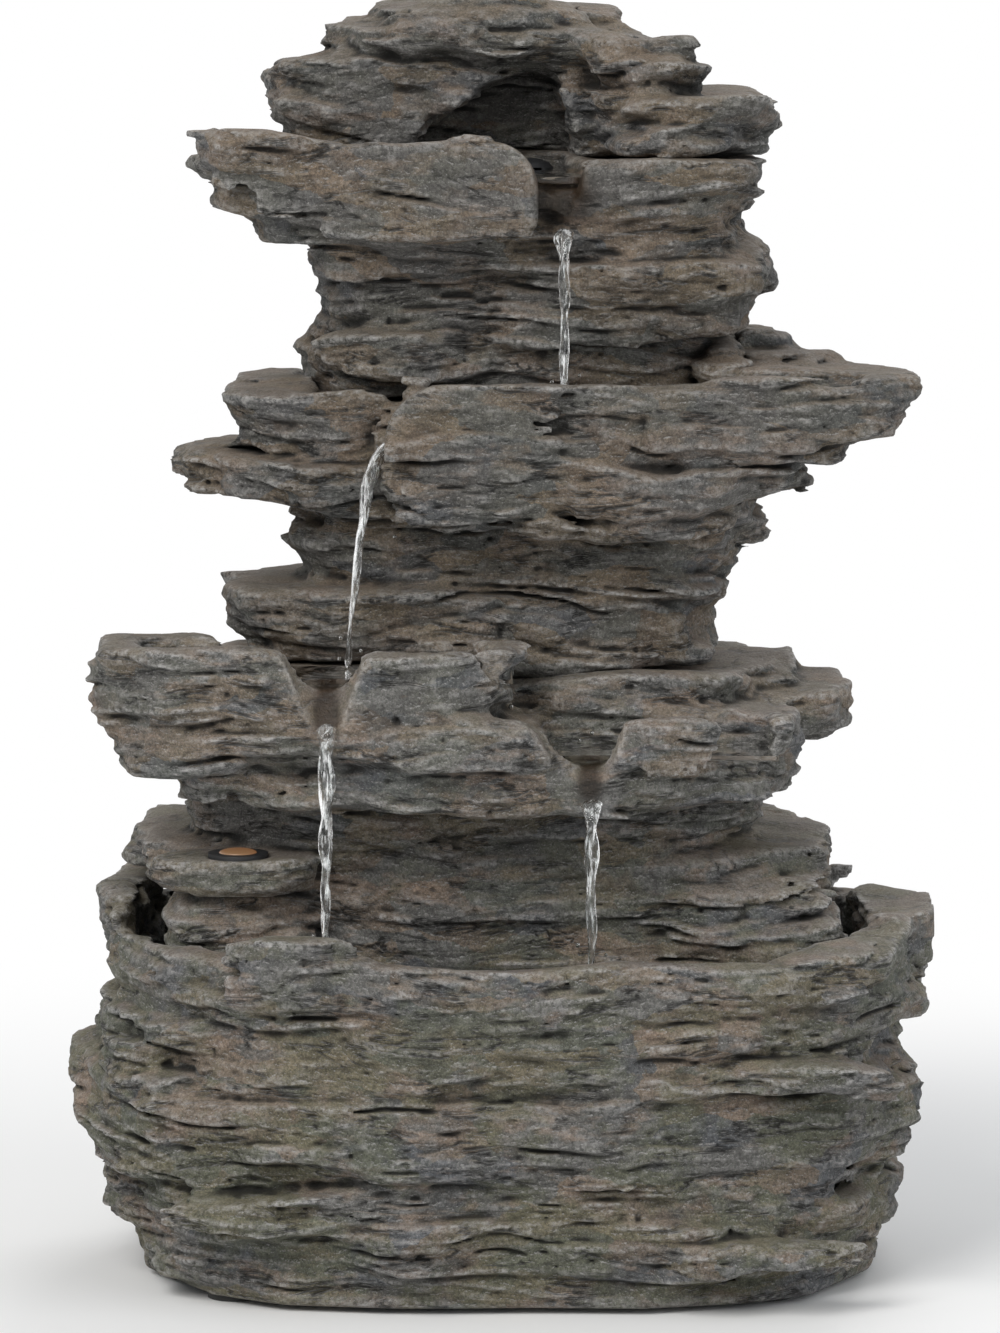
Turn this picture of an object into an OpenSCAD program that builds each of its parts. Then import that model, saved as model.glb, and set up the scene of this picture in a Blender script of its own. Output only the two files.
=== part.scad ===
// Tabletop rock fountain: a basin, three rock tiers and a crown cast in stone-filled resin,
// a submersible pump on the basin floor, a riser hose inside the tower and a rear access door.
// The front faces -Y, up is +Z, and the origin is on the table under the middle of the basin.

/* [Basin] */
// Reach of the basin to the left
basin_left = 142; // [136:1:156]
// Reach of the basin to the right
basin_right = 141; // [136:1:156]
// Reach of the basin to the front
basin_front = 103; // [100:1:114]
// Reach of the basin to the back
basin_back = 104; // [104:1:114]
// Height of the front rim above the table
basin_rim = 114; // [104:1:124]
// Thickness of the basin wall behind its deepest crevice
basin_wall = 8; // [6:0.5:10]
// Thickness of the basin floor
basin_floor = 8; // [6:0.5:12]

/* [Feet] */
// Diameter of a rubber foot
foot_d = 18; // [12:1:22]
// Height of a foot below the basin
foot_proud = 1.5; // [1:0.1:3]
// Depth of the socket that holds a foot
foot_sink = 2; // [1.5:0.1:3.5]
// Distance of the feet from the middle, sideways
foot_x = 84; // [60:1:88]
// Distance of the feet from the middle, to the front and back
foot_y = 54; // [40:1:58]

/* [Lower tier] */
// Height of its left rim above the basin rim
lower_rise = 95; // [90:1:104]
// How far its right rim lies below its left rim
lower_drop = 22; // [20:1:24]
// Height of its ledges above the basin rim
ledge_rise = 12; // [10:1:14]
// Height of its right tray, from the underside to the rim
tray_h = 30; // [28:1:34]
// Reach of its left tray
lower_left = 131; // [124:1:138]
// Reach of its right tray
lower_right = 98; // [96:1:104]
// Reach of its trays to the front
lower_front = 86; // [83:1:88]
// Place of the step between its two trays
lower_split = 9; // [6:1:12]
// Reach of its neck to the left
neck_left = 100; // [98:1:104]
// Reach of its neck to the right
neck_right = 88; // [86:1:92]
// Reach of its neck to the front
neck_front = 44; // [42:1:46]
// Reach of its neck to the back
neck_back = 81; // [79:1:82]

/* [Middle tier] */
// Height of its rim above the left rim of the lower tier
middle_rise = 83; // [79:1:92]
// Reach of its tray to the right
middle_right = 134; // [128:1:142]
// Reach of its tray to the left, where it spills
middle_left = 36; // [34:1:39]
// Reach of its tray to the front
middle_front = 71; // [69:1:73]
// Reach of its ledge to the left
ledge_left = 106; // [100:1:112]
// Reach of its column to the left
column_left = 65; // [63:1:68]
// Reach of its column to the right
column_right = 78; // [76:1:82]
// Reach of its column to the front
column_front = 34; // [32:1:36]
// Reach of its column to the back
column_back = 79; // [77:1:80]

/* [Top tier] */
// Height of its rim above the rim of the middle tier
top_rise = 77; // [73:1:86]
// Reach of its tray to the left
top_left = 102; // [98:1:108]
// Reach of its rock to the right
top_right = 88; // [85:1:92]
// Reach of its tray to the front
top_front = 58; // [56:1:60]
// Reach of its column to the left
shaft_left = 61; // [59:1:64]
// Reach of its column to the right
shaft_right = 73; // [71:1:76]
// Reach of its column to the front
shaft_front = 28; // [26:1:30]

/* [Crown] */
// Height of the crown above its seat
crown_rise = 49; // [46:1:56]
// Height of the top tray's rim above the seat of the crown
seat_drop = 8; // [6:0.5:9]
// Reach of the crown to the left
crown_left = 77; // [74:1:82]
// Reach of the crown to the right
crown_right = 87; // [84:1:90]
// Reach of the crown's left leg to the front
crown_front = 27; // [26:0.5:28]
// Width of the cave
cave_w = 50; // [46:1:54]
// Height of the cave above the seat of the crown
cave_h = 26; // [23:1:29]
// How far the cave runs back from the hose
cave_back = 16; // [13:1:20]

/* [Pools and spouts] */
// Thickness of the rims, and of the floors over the hollows
rim_wall = 9; // [8:0.5:10]
// Depth of the pool in the top tray
top_pool = 17; // [15:0.5:18]
// Depth of the pool in the middle tray
middle_pool = 9; // [7:0.5:11]
// Depth of the pool in the left lower tray
left_pool = 12; // [10:0.5:13]
// Depth of the pool in the right lower tray
right_pool = 14; // [12:0.5:15]
// Half the width of a spout at the rim
spout_half = 13; // [11:0.5:14]
// Width of a spout at its lip
lip_w = 5.5; // [4.5:0.25:6.5]
// How far a lip lies below the floor of its pool
lip_drop = 15; // [12:0.5:17]

/* [Castings] */
// Thickness of the tower's walls behind the deepest crevice
casting_wall = 7; // [5:0.5:8]
// Deepest setback of one layer behind its neighbours
layer_step = 3; // [1:0.25:3.5]
// Deepest chip out of the edge of a layer
chip = 3.5; // [1:0.25:4]
// Points round a layer
layer_points = 22; // [18:2:28]

/* [Rear door] */
// Width of the rear door
door_w = 84; // [70:1:92]
// Height of the rear door
door_h = 46; // [38:1:48]
// Width of the ledge that the door rests on
door_ledge = 4; // [3:0.5:5]
// Gap round the door
door_gap = 0.6; // [0.4:0.1:1]
// Width of the finger slot in the door's top edge
finger_w = 26; // [20:1:32]

/* [Pump] */
// Width and height of the pump body
pump_w = 42; // [39:0.5:46]
// Length of the motor block
motor_len = 38; // [36:0.5:42]
// Length of the pump chamber
chamber_len = 16; // [15:0.5:20]
// Inner diameter of the pump chamber
chamber_d = 30; // [29:0.5:32]
// Thickness of the chamber cover
cover_t = 3; // [2.5:0.25:4]
// Depth of the intake grille
intake_len = 12; // [11:0.5:15]
// Wall of the pump mouldings
pump_wall = 2; // [1.5:0.25:2.5]
// Number of slots in the intake grille
grille_slots = 5; // [3:1:6]
// Diameter of the rotor magnet
magnet_d = 14; // [12:0.5:16]
// Length of the rotor magnet
magnet_len = 26; // [22:0.5:28]
// Diameter of the impeller
impeller_d = 25; // [20:0.5:26]
// Number of impeller blades
impeller_blades = 6; // [4:1:8]
// Length of the impeller blades
blade_len = 8; // [6:0.5:9]
// Diameter of the ceramic shaft
shaft_d = 2.5; // [2:0.1:3]
// Running clearance on the shaft, on the radius
shaft_gap = 0.05; // [0.03:0.01:0.08]
// Diameter of the flow dial
dial_d = 24; // [21:0.5:28]
// Thickness of the flow dial
dial_t = 2.5; // [2:0.25:3]
// Diameter of a suction cup
cup_d = 14; // [11:0.5:15]
// Height of a suction cup
cup_h = 6; // [5:0.25:8]

/* [Hose] */
// Outer diameter of the riser hose
hose_od = 12; // [11.5:0.25:13]
// Inner diameter of the riser hose
hose_id = 9; // [8:0.25:9.5]
// Place of the hose, sideways
hose_x = 10; // [6:0.5:13]
// Place of the hose, to the back
hose_y = -2; // [-4:0.5:1]
// Clearance of the hose on its fittings, on the radius
hose_gap = 0.1; // [0.05:0.05:0.2]
// Length of the nozzles that the hose is pushed on
nozzle_len = 16; // [12:0.5:18]
// Width of the hose clip
clip_w = 6; // [4:0.5:8]

/* [Lamps] */
// Diameter of a lamp
lamp_d = 15; // [13:0.5:16]
// Depth of a lamp's pocket
lamp_sink = 5; // [4:0.25:6]
// Place of the lamp in the left pool, to the left
lamp_x = 14; // [12:0.5:18]
// Place of the lamp in the left pool, to the front
lamp_y = 56; // [53:0.5:60]

/* [Cord outlet] */
// Diameter of the hole for the power cord in the grommet
cord_hole_d = 6; // [5:0.25:7]
// Place of the grommet, to the right
grommet_x = 64; // [58:1:66]

/* [Hidden] */

// Colours as the photograph shows them
grey_rock = "#6f6a63";
brown_rock = "#7c6d60";
black_plastic = "#2b2b2c";
rubber = "#1f1f20";

// Heights, each from the one below
base_z = foot_proud;
floor_z = base_z + basin_floor;
lower_z = basin_rim + lower_rise;
right_z = lower_z - lower_drop;
middle_z = lower_z + middle_rise;
top_z = middle_z + top_rise;
crown_z = top_z - seat_drop;
lower_seat = lower_z - left_pool;
right_floor = right_z - right_pool;
middle_seat = middle_z - middle_pool;
top_floor = top_z - top_pool;
over_rim = basin_rim + ledge_rise;
tray_z = right_z - tray_h;
ledge_z = between(over_rim, tray_z, 0.45);

bevel = 1.6;            // how far the edge of a layer is broken back
thin = 0.5;             // step from one layer to the next, and the ends of a hull
past = 60;              // a cut runs this far past what it cuts
relief = layer_step + chip + bevel;
sides = 24;             // facets of a round cut in a casting
slack = 0.4;            // added to the diameter of a hole in a casting

// Clearances and small fixed sizes of the fittings
fit = 0.05;             // radial clearance of what is pushed in by hand
dial_gap = 0.2;
collar_h = 2;
seal_w = 1.6;
spigot_len = 3;
bush_d = 6;
bush_len = 4;
hub_d = 7;
inlet_d = 18;
port_d = 4.6;
port_ring = 7;
rivet_d = 4;
stem_d = 4;
stem_len = 4;
nozzle_bore = 6.5;
bezel = 2;
sleeve_d = cord_hole_d + 4;
flange_d = sleeve_d + 5;

// Stations of the pump along its axis, from the middle of the chamber
mouth = -chamber_len / 2;
back = chamber_len / 2;
motor_end = back + motor_len;
well_end = back + magnet_len + 2;
pump_z = floor_z + cup_h + pump_w / 2;
hose_low = pump_z + pump_w / 2 + collar_h + 0.2;
hose_high = top_floor - 0.3;

function sum(list) = list * [for (x = list) 1];
function between(low, high, share) = low + (high - low) * share;

// Radius of a squared oval at an angle. A higher corner power squares it more.
function oval(half, corner, angle) =
    pow(pow(abs(cos(angle)) / half[0], corner) + pow(abs(sin(angle)) / half[1], corner), -1 / corner);

// A reach is [left, right, front, back], the four coordinates that an outline runs to.
function middle(reach) = [(reach[0] + reach[1]) / 2, (reach[2] + reach[3]) / 2];
function half(reach, inset) = [(reach[1] - reach[0]) / 2 - inset, (reach[3] - reach[2]) / 2 - inset];

// The broken outline of one layer: chips and uneven spacing come from its seed
function broken(reach, inset, corner, count, seed) =
    let (chips = rands(0, chip, count, seed), turns = rands(-0.3, 0.3, count, seed + 500))
    [for (i = [0:count - 1])
        let (angle = 360 * (i + turns[i]) / count)
        middle(reach) + (oval(half(reach, inset), corner, angle) - chips[i]) * [cos(angle), sin(angle)]];

// An even rounded outline, for hollows
function even(reach, corner) =
    [for (angle = [0:12:348]) middle(reach) + oval(half(reach, 0), corner, angle) * [cos(angle), sin(angle)]];

// Heights that part a course into layers of uneven thickness
function layer_heights(low, high, count, seed) =
    let (parts = rands(0.6, 1.6, count, seed))
    [for (i = [0:count]) low + (high - low) * (i == 0 ? 0 : sum([for (k = [0:i - 1]) parts[k]]) / sum(parts))];

// Rings of one course, two for each layer, each as [height, outline]
function course_rings(low, high, reach, layers, corner, count, seed) =
    let (heights = layer_heights(low, high, layers, seed + 1),
         steps = rands(0, layer_step, layers, seed + 2),
         bevels = rands(0, bevel, 2 * layers, seed + 3),
         full = floor(rands(0, layers, 1, seed + 4)[0]))
    [for (i = [0:layers - 1], edge = [0, 1])
        [edge == 0 ? heights[i] + thin : heights[i + 1],
         broken(reach, (i == full ? 0 : steps[i]) + bevels[2 * i + edge], corner, count, seed + 10 * i)]];

// Layered rock as one closed skin lofted through its layers. From the base upwards, each
// course is [height of its top, reach, number of layers].
module strata(base, courses, corner, seed, count = layer_points) {
    rings = [for (k = [0:len(courses) - 1])
        each course_rings(k == 0 ? base - thin : courses[k - 1][0], courses[k][0], courses[k][1],
            courses[k][2], corner, count, seed + 100 * k)];
    last = len(rings) - 1;
    points = [for (ring = rings, p = ring[1]) [p[0], p[1], ring[0]]];
    function at(r, i) = r * count + i % count;
    skin = [for (r = [0:last - 1], i = [0:count - 1])
        each [[at(r, i), at(r + 1, i), at(r + 1, i + 1)], [at(r, i), at(r + 1, i + 1), at(r, i + 1)]]];
    polyhedron(points, concat([[for (i = [0:count - 1]) at(0, i)]], skin,
        [[for (i = [count - 1:-1:0]) at(last, i)]]), convexity = 8);
}

// A broken plate of rock that leans out of its course
module plate(reach, low, high, seed) {
    count = 8;
    hull() {
        translate([0, 0, low]) linear_extrude(thin) polygon(broken(reach, 3, 3, count, seed));
        translate([0, 0, high - thin]) linear_extrude(thin) polygon(broken(reach, 0, 3, count, seed + 1));
    }
}

// A space that follows the outline of the rock round it
module vault(reach, low, high, corner) {
    translate([0, 0, low]) linear_extrude(high - low) polygon(even(reach, corner));
}

// A smooth space with rounded corners in plan
module hollow(reach, low, high, radius) {
    hull() {
        for (x = [reach[0] + radius, reach[1] - radius], y = [reach[2] + radius, reach[3] - radius]) {
            translate([x, y, low]) cylinder(r = radius, h = high - low, $fn = sides);
        }
    }
}

// The cut of a spout that runs to the front: a funnel from the pool's floor down to its lip.
// It opens at the rim by left and right of its middle.
module spout_cut(rim, pool, lip, inner, outer, left, right) {
    module section(y, low) {
        translate([0, y, 0]) rotate([90, 0, 0]) linear_extrude(thin)
            polygon([[-lip_w / 2, low], [lip_w / 2, low], [right, rim + 3], [-left, rim + 3]]);
    }
    hull() {
        section(inner, pool);
        section(outer, lip);
    }
}

module foot_places() {
    for (x = [-foot_x, foot_x], y = [-foot_y, foot_y]) {
        translate([x, y, 0]) children();
    }
}

// Basin

module basin_rock() {
    l = -basin_left;
    r = basin_right;
    f = -basin_front;
    b = basin_back;
    h = basin_rim - base_z;
    strata(base_z, [
        [base_z + 0.06 * h, [l + 24, r - 17, f + 16, b - 11], 1],
        [base_z + 0.19 * h, [l + 17, r - 11, f + 11, b - 7], 2],
        [base_z + 0.37 * h, [l + 15, r - 9, f + 7, b - 4], 2],
        [base_z + 0.48 * h, [l + 8, r - 5, f + 5, b - 3], 2],
        [base_z + 0.64 * h, [l, r - 4, f + 4, b - 1], 2],
        [base_z + 0.74 * h, [l + 9, r - 10, f + 3, b - 2], 1],
        [base_z + 0.87 * h, [l + 14, r - 1, f + 1, b], 2],
        [basin_rim, [l + 11, r, f, b], 2]], 2.9, 8);
    // plates on the front, and the raised rims at the left, right and front left
    plate([l + 27, l + 112, f + 4, f + 34], base_z + 0.22 * h, base_z + 0.34 * h, 3);
    plate([r - 98, r - 22, f + 5, f + 30], base_z + 0.1 * h, base_z + 0.2 * h, 12);
    plate([r - 84, r - 12, f + 4, f + 34], base_z + 0.6 * h, base_z + 0.7 * h, 35);
    plate([l + 11, l + 40, f + 56, b - 44], basin_rim - 12, basin_rim + 9, 44);
    plate([l + 12, l + 34, f + 74, b - 70], basin_rim - 12, basin_rim + 6, 47);
    plate([r - 30, r + 1, f + 60, b - 40], basin_rim - 12, basin_rim + 5, 58);
    plate([l + 50, l + 106, f + 2, f + 17], basin_rim - 12, basin_rim + 7, 66);
    plate([l + 18, l + 92, b - 20, b], basin_rim - ledge_rise, basin_rim + ledge_rise + 4, 71);
    plate([r - 86, r - 14, b - 20, b - 1], basin_rim - ledge_rise, basin_rim + ledge_rise + 2, 75);
}

module basin() {
    deep = relief + basin_wall;
    color(grey_rock)
    difference() {
        basin_rock();
        hull() {
            translate([0, 0, floor_z]) linear_extrude(thin)
                polygon(even([-basin_left + 17 + deep, basin_right - 11 - deep,
                    -basin_front + 9 + deep, basin_back - 4 - deep], 3.4));
            translate([0, 0, basin_rim + past]) linear_extrude(thin)
                polygon(even([-basin_left + 9 + deep, basin_right - 3 - deep,
                    -basin_front - 2 + deep, basin_back + 3 - deep], 3.4));
        }
        foot_places() translate([0, 0, base_z - 1]) cylinder(d = foot_d + slack, h = foot_sink + 1, $fn = sides);
    }
}

module feet() {
    color(rubber)
    foot_places() cylinder(d = foot_d, h = foot_proud + foot_sink, $fn = 48);
}

// Lower tier

seat_y = neck_back - relief - 1;    // the rear door's seat in the back wall
door_low = over_rim + 3;

module lower_rock() {
    l = -neck_left;
    r = neck_right;
    f = -neck_front;
    b = neck_back;
    // skirt on the basin's floor, ledges over the basin's rim, and the neck under the trays
    strata(floor_z, [
        [over_rim - 2 * ledge_rise, [l + 4, r + 2, f, b], 2],
        [over_rim - 6, [l + 2, r + 16, f, b], 1],
        [over_rim + 1, [l - 6, r + 19, f, b], 1],
        [ledge_z, [l - 23, r + 23, f + 2, b + 1], 2],
        [between(over_rim, tray_z, 0.75), [l - 4, r + 2, f, b], 2],
        [tray_z + 1, [l - 2, r, f - 2, b], 1]], 4, 16);
    // both trays up to the right rim, and the left tray above it
    strata(tray_z, [
        [tray_z + tray_h / 2, [l - 7, lower_right, -lower_front + 6, b + 1], 2],
        [right_z, [-lower_left + 14, lower_right, -lower_front, b + 1], 2]], 3.4, 32);
    strata(right_z - 6, [
        [right_z + 2, [-lower_left + 8, lower_split, -lower_front + 2, 30], 1],
        [lower_z - 5, [-lower_left, lower_split, -lower_front, 20], 2],
        [lower_z, [-lower_left + 2, lower_split, -lower_front, -10], 1]], 4, 51);
    // block that carries the middle tier, and the steps at its right
    strata(right_z - 6, [
        [lower_seat, [l + 4, r, f - 2, b + 1], 2]], 5, 60);
    plate([r - 30, lower_right + 17, -20, 52], right_z - 16, right_z + 2, 72);
    plate([r - 30, r + 8, -10, 60], right_z, lower_seat - 0.4, 78);
    plate([-lower_left + 10, -lower_left + 60, -lower_front + 6, -20], right_z - 18, right_z - 4, 82);
    // ledge that carries the left lamp
    plate([l - 16, l + 48, f - 17, f + 16], ledge_z - 11, ledge_z + 1, 91);
}

module lower_hollows() {
    vault([-neck_left + 4 + deep_wall, neck_right - deep_wall, -neck_front + deep_wall,
        neck_back - deep_wall], floor_z - 1, right_floor - rim_wall, 4.5);
    vault([-neck_left + 4 + deep_wall, neck_right - deep_wall, -neck_front + rim_wall - 3,
        neck_back - deep_wall], right_floor - rim_wall - 1, lower_seat - rim_wall, 4);
    hollow([-lower_left + relief + rim_wall, lower_split - relief - rim_wall + 3,
        -lower_front + relief + 4, -column_front - 9], lower_seat, lower_z + past, 6);
    hollow([lower_split + 3, lower_right - relief - 4, -lower_front + relief + 4, -neck_front - 3],
        right_floor, lower_z + past, 5);
    // the middle tier's seat, open to the back
    hollow([-ledge_left + 14, lower_right + past, -column_front - 10, column_back + past],
        lower_seat, lower_z + past, 5);
}

deep_wall = casting_wall + relief;
left_spout_x = -54;
right_spout_x = 28.4;

module lower_tier() {
    color(grey_rock)
    difference() {
        lower_rock();
        lower_hollows();
        translate([left_spout_x, 0, 0])
            spout_cut(lower_z, lower_seat, lower_seat - lip_drop, -lower_front + relief + 5,
                -lower_front - 1, spout_half + 2, spout_half);
        translate([right_spout_x, 0, 0])
            spout_cut(right_z, right_floor, right_floor - lip_drop, -lower_front + relief + 5,
                -lower_front - 1, spout_half + 7, spout_half - 2);
        // water inlets at the foot of the skirt
        for (x = [-62, -34, 44, 66]) {
            translate([x, -neck_front, floor_z]) cube([12, 60, 20], center = true);
        }
        translate([hose_x, hose_y, floor_z]) cylinder(d = hose_od + 2, h = lower_z, $fn = sides);
        door_opening();
        grommet_place() {
            translate([0, 0, -deep_wall - 5]) cylinder(d = sleeve_d + slack, h = past, $fn = sides);
            cylinder(d = flange_d + 1, h = past, $fn = sides);
        }
        lamp_places() {
            translate([0, 0, -lamp_sink]) cylinder(d = lamp_d + slack, h = past, $fn = sides);
            cylinder(d = lamp_d + 2 * bezel + 2, h = 16, $fn = sides);
        }
    }
}

module door_outline(grow, from, to) {
    translate([0, from, door_low + door_h / 2]) rotate([-90, 0, 0])
        linear_extrude(to - from) offset(r = grow)
            hull() {
                for (x = [-1, 1], z = [-1, 1]) {
                    translate([x * (door_w / 2 - 8), z * (door_h / 2 - 8)]) circle(r = 8, $fn = sides);
                }
            }
}

module door_opening() {
    door_outline(0, seat_y, seat_y + past);
    door_outline(-door_ledge, neck_back - deep_wall - 1, seat_y + 1);
}

module rear_door() {
    color(grey_rock)
    difference() {
        intersection() {
            lower_rock();
            door_outline(-door_gap, seat_y, seat_y + past);
        }
        translate([0, seat_y + 11, door_low + door_h]) rotate([0, 90, 0])
            cylinder(r = 7, h = finger_w, center = true, $fn = sides);
    }
}

module grommet_place() {
    translate([grommet_x, seat_y, door_low + 5]) rotate([-90, 0, 0]) children();
}

module lamp_places() {
    translate([-lamp_x, -lamp_y, lower_seat]) children();
    translate([-neck_left + lamp_d + 2, -neck_front - 2, ledge_z]) children();
}

// Middle tier

module middle_rock() {
    l = -column_left;
    r = column_right;
    f = -column_front;
    b = column_back;
    up = middle_z - lower_seat;
    // ledge behind the left pool, and the column above it
    strata(lower_seat, [
        [lower_seat + 0.08 * up, [-ledge_left + 22, r - 1, f - 4, b], 1],
        [lower_seat + 0.27 * up, [-ledge_left + 15, r - 2, f - 6, b], 3]], 4.5, 105);
    strata(lower_seat + 0.26 * up, [
        [lower_seat + 0.4 * up, [l, r, f, b], 2],
        [lower_seat + 0.55 * up, [l - 4, r + 6, f, b], 2],
        [middle_seat, [l, r, f - 2, b + 1], 3]], 4, 118);
    // stepped left ledges
    strata(lower_seat + 0.56 * up, [
        [lower_seat + 0.72 * up, [-ledge_left, 0, f - 12, 56], 2]], 3, 126);
    strata(lower_seat + 0.71 * up, [
        [lower_seat + 0.78 * up, [-ledge_left + 24, 0, f - 6, 50], 1],
        [lower_seat + 0.95 * up, [-ledge_left + 16, 0, f - 3, 52], 2]], 3, 133);
    // tray, growing to the right as it rises
    strata(middle_z - 49, [
        [middle_z - 38, [-middle_left + 34, r + 4, -middle_front + 12, 60], 1],
        [middle_z - 26, [-middle_left + 14, r + 26, -middle_front + 4, 60], 2],
        [middle_z - 17, [-middle_left + 5, r + 40, -middle_front + 1, 50], 1],
        [middle_z, [-middle_left, middle_right, -middle_front, 40], 3]], 2.9, 143);
    // ledge behind the tray at the right
    plate([20, r + 35, -12, 70], middle_z - 12, middle_z + 4, 153);
    plate([30, r + 18, 0, 76], middle_z, middle_z + 11, 158);
    plate([r - 20, r + 10, -20, 40], lower_seat + 0.4 * up, lower_seat + 0.52 * up, 164);
    plate([l - 6, l + 40, f - 3, 10], middle_seat - 14, middle_seat + 2, 170);
    plate([r - 60, r + 14, -middle_front + 1, -30], middle_z - 40, middle_z - 30, 176);
}

module middle_tier() {
    color(brown_rock)
    difference() {
        middle_rock();
        vault([-column_left + deep_wall, column_right - 2 - deep_wall, -column_front + deep_wall,
            column_back - deep_wall], lower_seat - 1, middle_seat - rim_wall, 4);
        // pool, and the seat of the top tier behind it
        hollow([-middle_left + relief + 5, middle_right - relief - rim_wall - 4, -middle_front + relief + 4,
            -shaft_front + 2], middle_seat, middle_z + past, 6);
        hollow([-shaft_left - 4, shaft_right + 2, -shaft_front - 6, column_back + past],
            middle_seat, middle_z + past, 5);
        // spout at the left end of the tray
        translate([0, -middle_front + 18, 0]) rotate([0, 0, -90])
            spout_cut(middle_z, middle_seat, middle_seat - lip_drop + 1, -middle_left + relief + 8,
                -middle_left - 1, spout_half + 6, spout_half - 2);
        translate([hose_x, hose_y, lower_seat]) cylinder(d = hose_od + 2, h = middle_z, $fn = sides);
    }
}

// Top tier

top_spout_x = 20;

module top_rock() {
    l = -shaft_left;
    r = shaft_right;
    f = -shaft_front;
    b = column_back;
    up = crown_z - middle_seat;
    strata(middle_seat, [
        [middle_seat + 0.2 * up, [l - 3, r + 1, f, b - 2], 2],
        [middle_seat + 0.4 * up, [l, r, f - 2, b - 4], 2],
        [middle_seat + 0.62 * up, [l, top_right, f - 6, b - 4], 3],
        [middle_seat + 0.76 * up, [l - 2, top_right - 9, f - 10, b - 6], 2],
        [crown_z, [l - 4, top_right - 5, f - 12, b - 6], 3]], 3.6, 205);
    // tray, with its underside rising to the left
    strata(top_z - 47, [
        [top_z - 36, [l - 2, top_spout_x + 26, f - 14, 40], 1],
        [top_z - 25, [-top_left + 18, top_spout_x + 10, f - 24, 34], 2],
        [top_z - 15, [-top_left + 5, top_spout_x + 6, -top_front + 1, 26], 1],
        [crown_z, [-top_left, top_spout_x + 6, -top_front, 20], 1]], 3.4, 222);
    strata(crown_z - thin, [
        [top_z, [-top_left + 2, top_spout_x, -top_front, -crown_front - 2], 1]], 5, 236);
    // rock at the right of the spout
    strata(crown_z - 58, [
        [crown_z - 44, [top_spout_x - 30, top_right - 8, f - 12, 30], 2],
        [crown_z - 30, [top_spout_x - 12, top_right, -top_front + 11, 40], 2],
        [crown_z - 12, [top_spout_x - 14, top_right - 8, -top_front + 4, 40], 2],
        [crown_z, [top_spout_x - 14, top_right - 3, -top_front + 2, 36], 1]], 4, 243);
    plate([l - 2, l + 60, f - 9, f + 20], middle_seat + 8, middle_seat + 22, 251);
    plate([l + 30, r - 20, f - 8, f + 20], crown_z - 52, crown_z - 42, 254);
    plate([-top_left + 30, -top_left + 80, -top_front, -30], top_z - 30, top_z - 18, 259);
    plate([r - 34, r + 8, 0, b - 12], middle_seat + 26, middle_seat + 44, 263);
    plate([l - 5, l + 24, 4, b - 16], crown_z - 22, crown_z - 6, 266);
    plate([r - 34, r + 1.6, 18, b - 19], middle_seat, middle_seat + 20, 271);
}

module top_tier() {
    color(brown_rock)
    difference() {
        top_rock();
        vault([-shaft_left + deep_wall, shaft_right - deep_wall, -shaft_front + deep_wall,
            column_back - deep_wall - 6], middle_seat - 1, top_floor - rim_wall, 3.6);
        // pool, which runs back under the cave
        hollow([-top_left + relief + 7, top_spout_x + 7, -top_front + relief + 2, -crown_front - 2],
            top_floor, top_z + past, 3);
        hollow([hose_x - 18, hose_x + 11, -top_front + relief + 6, hose_y + cave_back - 2],
            top_floor, top_z + past, 6);
        translate([top_spout_x, 0, 0])
            spout_cut(top_z, top_floor, top_floor - lip_drop - 3, -top_front + relief + 6,
                -top_front - 1, spout_half + 1, spout_half - 5);
        translate([hose_x, hose_y, middle_seat]) cylinder(d = hose_od + slack, h = top_z, $fn = sides);
    }
}

// Crown

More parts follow.
